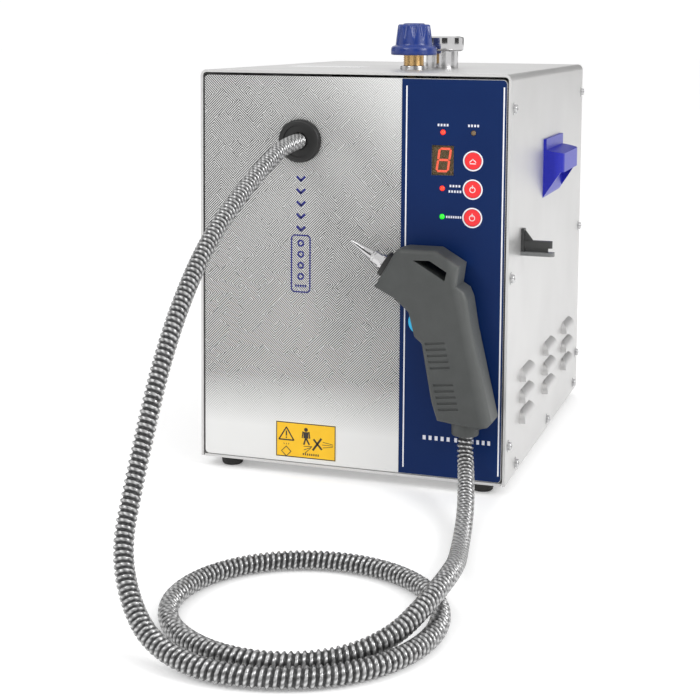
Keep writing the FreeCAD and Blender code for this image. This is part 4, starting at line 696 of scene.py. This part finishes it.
profile += [(0.0184, 0.4085), (0.0206, 0.4079), (0.0219, 0.4068), (0.0225, 0.4050), (0.0225, 0.4012),
            (0.0222, 0.3998), (0.0214, 0.3992), (0.0108, 0.3991), (0.0104, 0.3996), (0.0104, 0.4150),
            (0.0, 0.4150)]
shape = bmesh.new()
turned(shape, profile, FILLER, (0, 0, 1), 240)
for vert in shape.verts:
    away = vert.co - FILLER
    radius = math.hypot(away.x, away.y)
    if radius < CROWN_R or vert.co.z < CAP_SIDE_FOOT or vert.co.z > CROWN_TOP:
        continue
    rise = min(1.0, max(0.0, (vert.co.z - SCOOP_POINT) / (CAP_SIDE_TOP - SCOOP_POINT)))
    turn = (math.atan2(away.y, away.x) / (2.0 * math.pi) * SCOOPS) % 1.0 - 0.5
    spread = max(1e-6, SCOOP_WIDTH * rise ** SCOOP_SWELL)
    scoop = max(0.0, 1.0 - (turn / spread) ** 2)
    scale = 1.0 - SCOOP_DEPTH * scoop * rise / radius
    vert.co.x = FILLER.x + away.x * scale
    vert.co.y = FILLER.y + away.y * scale
bmesh.ops.recalc_face_normals(shape, faces=shape.faces)
soften(shape, 45.0)
filler_knob = new_piece("filler_knob", shape)
place = new_finish("cap_plastic")
flow = place.noise(0.0014, 3.0)
cap_plastic = place.finish(flow.blend((0.004, 0.022, 0.170), (0.012, 0.045, 0.27)),
                           flow.range(0.24, 0.40), 0.0, flow, 0.00004,
                           Coat_Weight=0.3, Coat_Roughness=0.12)
dress(filler_knob, cap_plastic)
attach(filler_knob, "filler_cap")
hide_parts("filler_cap")


# Chrome fittings: the filler's nut, the release collar and its cap, the nozzle and its ring.
# Polished plate, with hair scratches that only show in the highlights.
place = new_finish("polished_chrome")
hair = place.stretched(1.0, 1.0, 9.0).noise(0.0016, 4.0)
polished_chrome = place.finish(hair.blend((0.52, 0.51, 0.51), (0.66, 0.66, 0.67)),
                               hair.range(0.04, 0.14), 1.0, hair, 0.000004)
refined("neck_nut", "filler_nut", polished_chrome)
refined("release_stub", "release_neck", polished_chrome)
RELEASE = Vector((0.0425, -0.031, 0.0))
shape = bmesh.new()
turned(shape, ((0.0, 0.4173), (0.0185, 0.4173), (0.0198, 0.4171), (0.0206, 0.4166), (0.0214, 0.4164),
               (0.0219, 0.4158), (0.0220, 0.4148), (0.0220, 0.4046), (0.0219, 0.4038), (0.0212, 0.4032),
               (0.0205, 0.4030), (0.0198, 0.4024), (0.0124, 0.4023), (0.0124, 0.4140), (0.0, 0.4140)),
       RELEASE, (0, 0, 1), 96)
bmesh.ops.recalc_face_normals(shape, faces=shape.faces)
soften(shape, 30.0)
release_knob = new_piece("release_knob", shape)
dress(release_knob, polished_chrome)
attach(release_knob, "release_cap")
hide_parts("release_cap")
place = new_finish("seal_silicone")
bloom = place.noise(0.002)
seal_silicone = place.finish(bloom.blend((0.30, 0.05, 0.03), (0.45, 0.09, 0.05)),
                             bloom.range(0.55, 0.7), 0.0, bloom, 0.00003)
for node in ("filler_seal", "release_seal"):
    dress(frame["nodes"][node], seal_silicone)


# Side brackets: a blue hood that the nozzle parks under and a grey hook for the gun's loop.
# Both are moulded, and screwed on from inside the cover.
place = new_finish("hood_plastic")
flow = place.noise(0.0016, 3.0)
hood_plastic = place.finish(flow.blend((0.006, 0.009, 0.30), (0.012, 0.018, 0.42)),
                            flow.range(0.26, 0.42), 0.0, flow, 0.00004, Specular_IOR_Level=0.35)
refined("parking_hood", "nozzle_hood", hood_plastic)
# Below this height the hook is painted paler: painted light from the floor on its underside.
FLOOR_LIT_BELOW_Z = 0.2187
place = new_finish("hook_plastic")
flow = place.noise(0.0012, 3.0)
floor_lit_part = place.parts()[2] < FLOOR_LIT_BELOW_Z
shade = floor_lit_part.blend(flow.blend((0.020, 0.021, 0.021), (0.042, 0.043, 0.043)),
                    flow.blend((0.13, 0.135, 0.135), (0.20, 0.205, 0.205)))
hook_plastic = place.finish(shade, flow.range(0.3, 0.5), 0.0, flow, 0.00004)
refined("loop_hook", "gun_hook", hook_plastic)


# Gun: two halves of dark grey plastic with a fine spark-eroded skin, screwed together.
# The loop on its back hangs on the hook, and the grip has two groups of ribs.
GRIP_SLOPE = 0.2255
GRIP_BACK_X, GRIP_BACK_Z, BACK_HIGHLIGHT_FADE = 0.121, 0.130, 0.006
place = new_finish("gun_plastic")
x, _, z = place.parts()
spark = place.noise(0.0005, 2.0)
rubbed = place.noise(0.012, 3.0)
# The grip's rear edge is painted paler: a painted highlight where its rear face turns to the light.
back = ((x + (z - GRIP_BACK_Z) * GRIP_SLOPE - GRIP_BACK_X) / BACK_HIGHLIGHT_FADE).clamped()
shell = ((spark * 0.35 + rubbed * 0.65) * 0.7 + back * 0.6).clamped()
gun_plastic = place.finish(shell.blend((0.034, 0.037, 0.036), (0.085, 0.090, 0.088)),
                           rubbed.range(0.42, 0.58), 0.0, spark, 0.00008)
refined("gun_front_half", "gun_shell_outer", gun_plastic, 40.0)
refined("gun_back_half", "gun_shell_inner", gun_plastic, 40.0)
hose_end = refined("hose_end_boot", "hose_boot", gun_plastic, 40.0)
place = new_finish("trigger_plastic")
flow = place.noise(0.001, 3.0)
trigger_plastic = place.finish(flow.blend((0.0, 0.42, 0.78), (0.01, 0.55, 0.92)),
                               flow.range(0.22, 0.36), 0.0, flow, 0.00003,
                               Coat_Weight=0.3, Coat_Roughness=0.1)
refined("gun_trigger", "trigger", trigger_plastic)


# Nozzle: a chromed cone on a slotted ring nut, with a black collar against the gun's nose.
# All three are turned about the line of the gun's head.
NOSE = Vector((0.04425, -0.219, 0.21025))
HEAD_WAY = Vector((-34.5, 0.0, 20.5)).normalized()
shape = bmesh.new()
turned(shape, ((0.0, 0.0055), (0.0049, 0.0055), (0.0049, 0.0088), (0.0063, 0.0091), (0.0063, 0.0150),
               (0.0061, 0.0153), (0.0061, 0.0158), (0.0063, 0.0161), (0.0063, 0.0175), (0.0058, 0.0182),
               (0.0052, 0.0190), (0.0016, 0.0418), (0.0013, 0.0424), (0.0009, 0.0425), (0.0007, 0.0422),
               (0.0007, 0.0360), (0.0, 0.0360)), NOSE, HEAD_WAY, 72)
bmesh.ops.recalc_face_normals(shape, faces=shape.faces)
soften(shape, 30.0)
steam_nozzle = new_piece("steam_nozzle", shape)
dress(steam_nozzle, polished_chrome)
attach(steam_nozzle, "root")
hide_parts("nozzle")
refined("slotted_ring", "nozzle_ring", polished_chrome)
refined("nose_collar", "nozzle_collar", black_moulding)


# Inside the cabinet: boiler, jacket, stands, tank, pipes, board and probes.
# Each gets the skin of what it is: rolled steel, glass wool, zinc plate, moulded or drawn stock.
INSIDE = (
    ("rolled_steel", ("boiler", "level_probe", "valve_plunger"), (0.36, 0.36, 0.36), (0.60, 0.60, 0.59),
     0.004, 0.3, 1.0),
    ("glass_wool", ("boiler_jacket",), (0.50, 0.46, 0.34), (0.78, 0.74, 0.60), 0.003, 0.9, 0.0),
    ("zinc_plate", ("boiler_stand", "tank_stand"), (0.34, 0.35, 0.37), (0.56, 0.57, 0.58), 0.012, 0.4, 1.0),
    ("element_sheath", ("heating_element",), (0.10, 0.10, 0.11), (0.26, 0.25, 0.25), 0.005, 0.45, 1.0),
    ("drawn_copper", ("copper_pipes",), (0.42, 0.15, 0.07), (0.72, 0.33, 0.19), 0.008, 0.3, 1.0),
    ("tank_moulding", ("water_tank",), (0.66, 0.69, 0.70), (0.80, 0.83, 0.84), 0.020, 0.35, 0.0),
    ("silicone_tube", ("water_tubes", "gun_tube"), (0.60, 0.60, 0.54), (0.76, 0.76, 0.70), 0.006, 0.4, 0.0),
    ("board_mask", ("control_board",), (0.008, 0.10, 0.035), (0.020, 0.19, 0.065), 0.002, 0.35, 0.0))
for name, nodes, low, high, size, rough, metal in INSIDE:
    place = new_finish(name)
    spread = place.noise(size, 4.0)
    gloss = spread.range(rough * 0.8, min(1.0, rough * 1.2))
    skin = place.finish(spread.blend(low, high), gloss, metal, spread, 0.00005)
    for node in nodes:
        dress(frame["nodes"][node], skin)
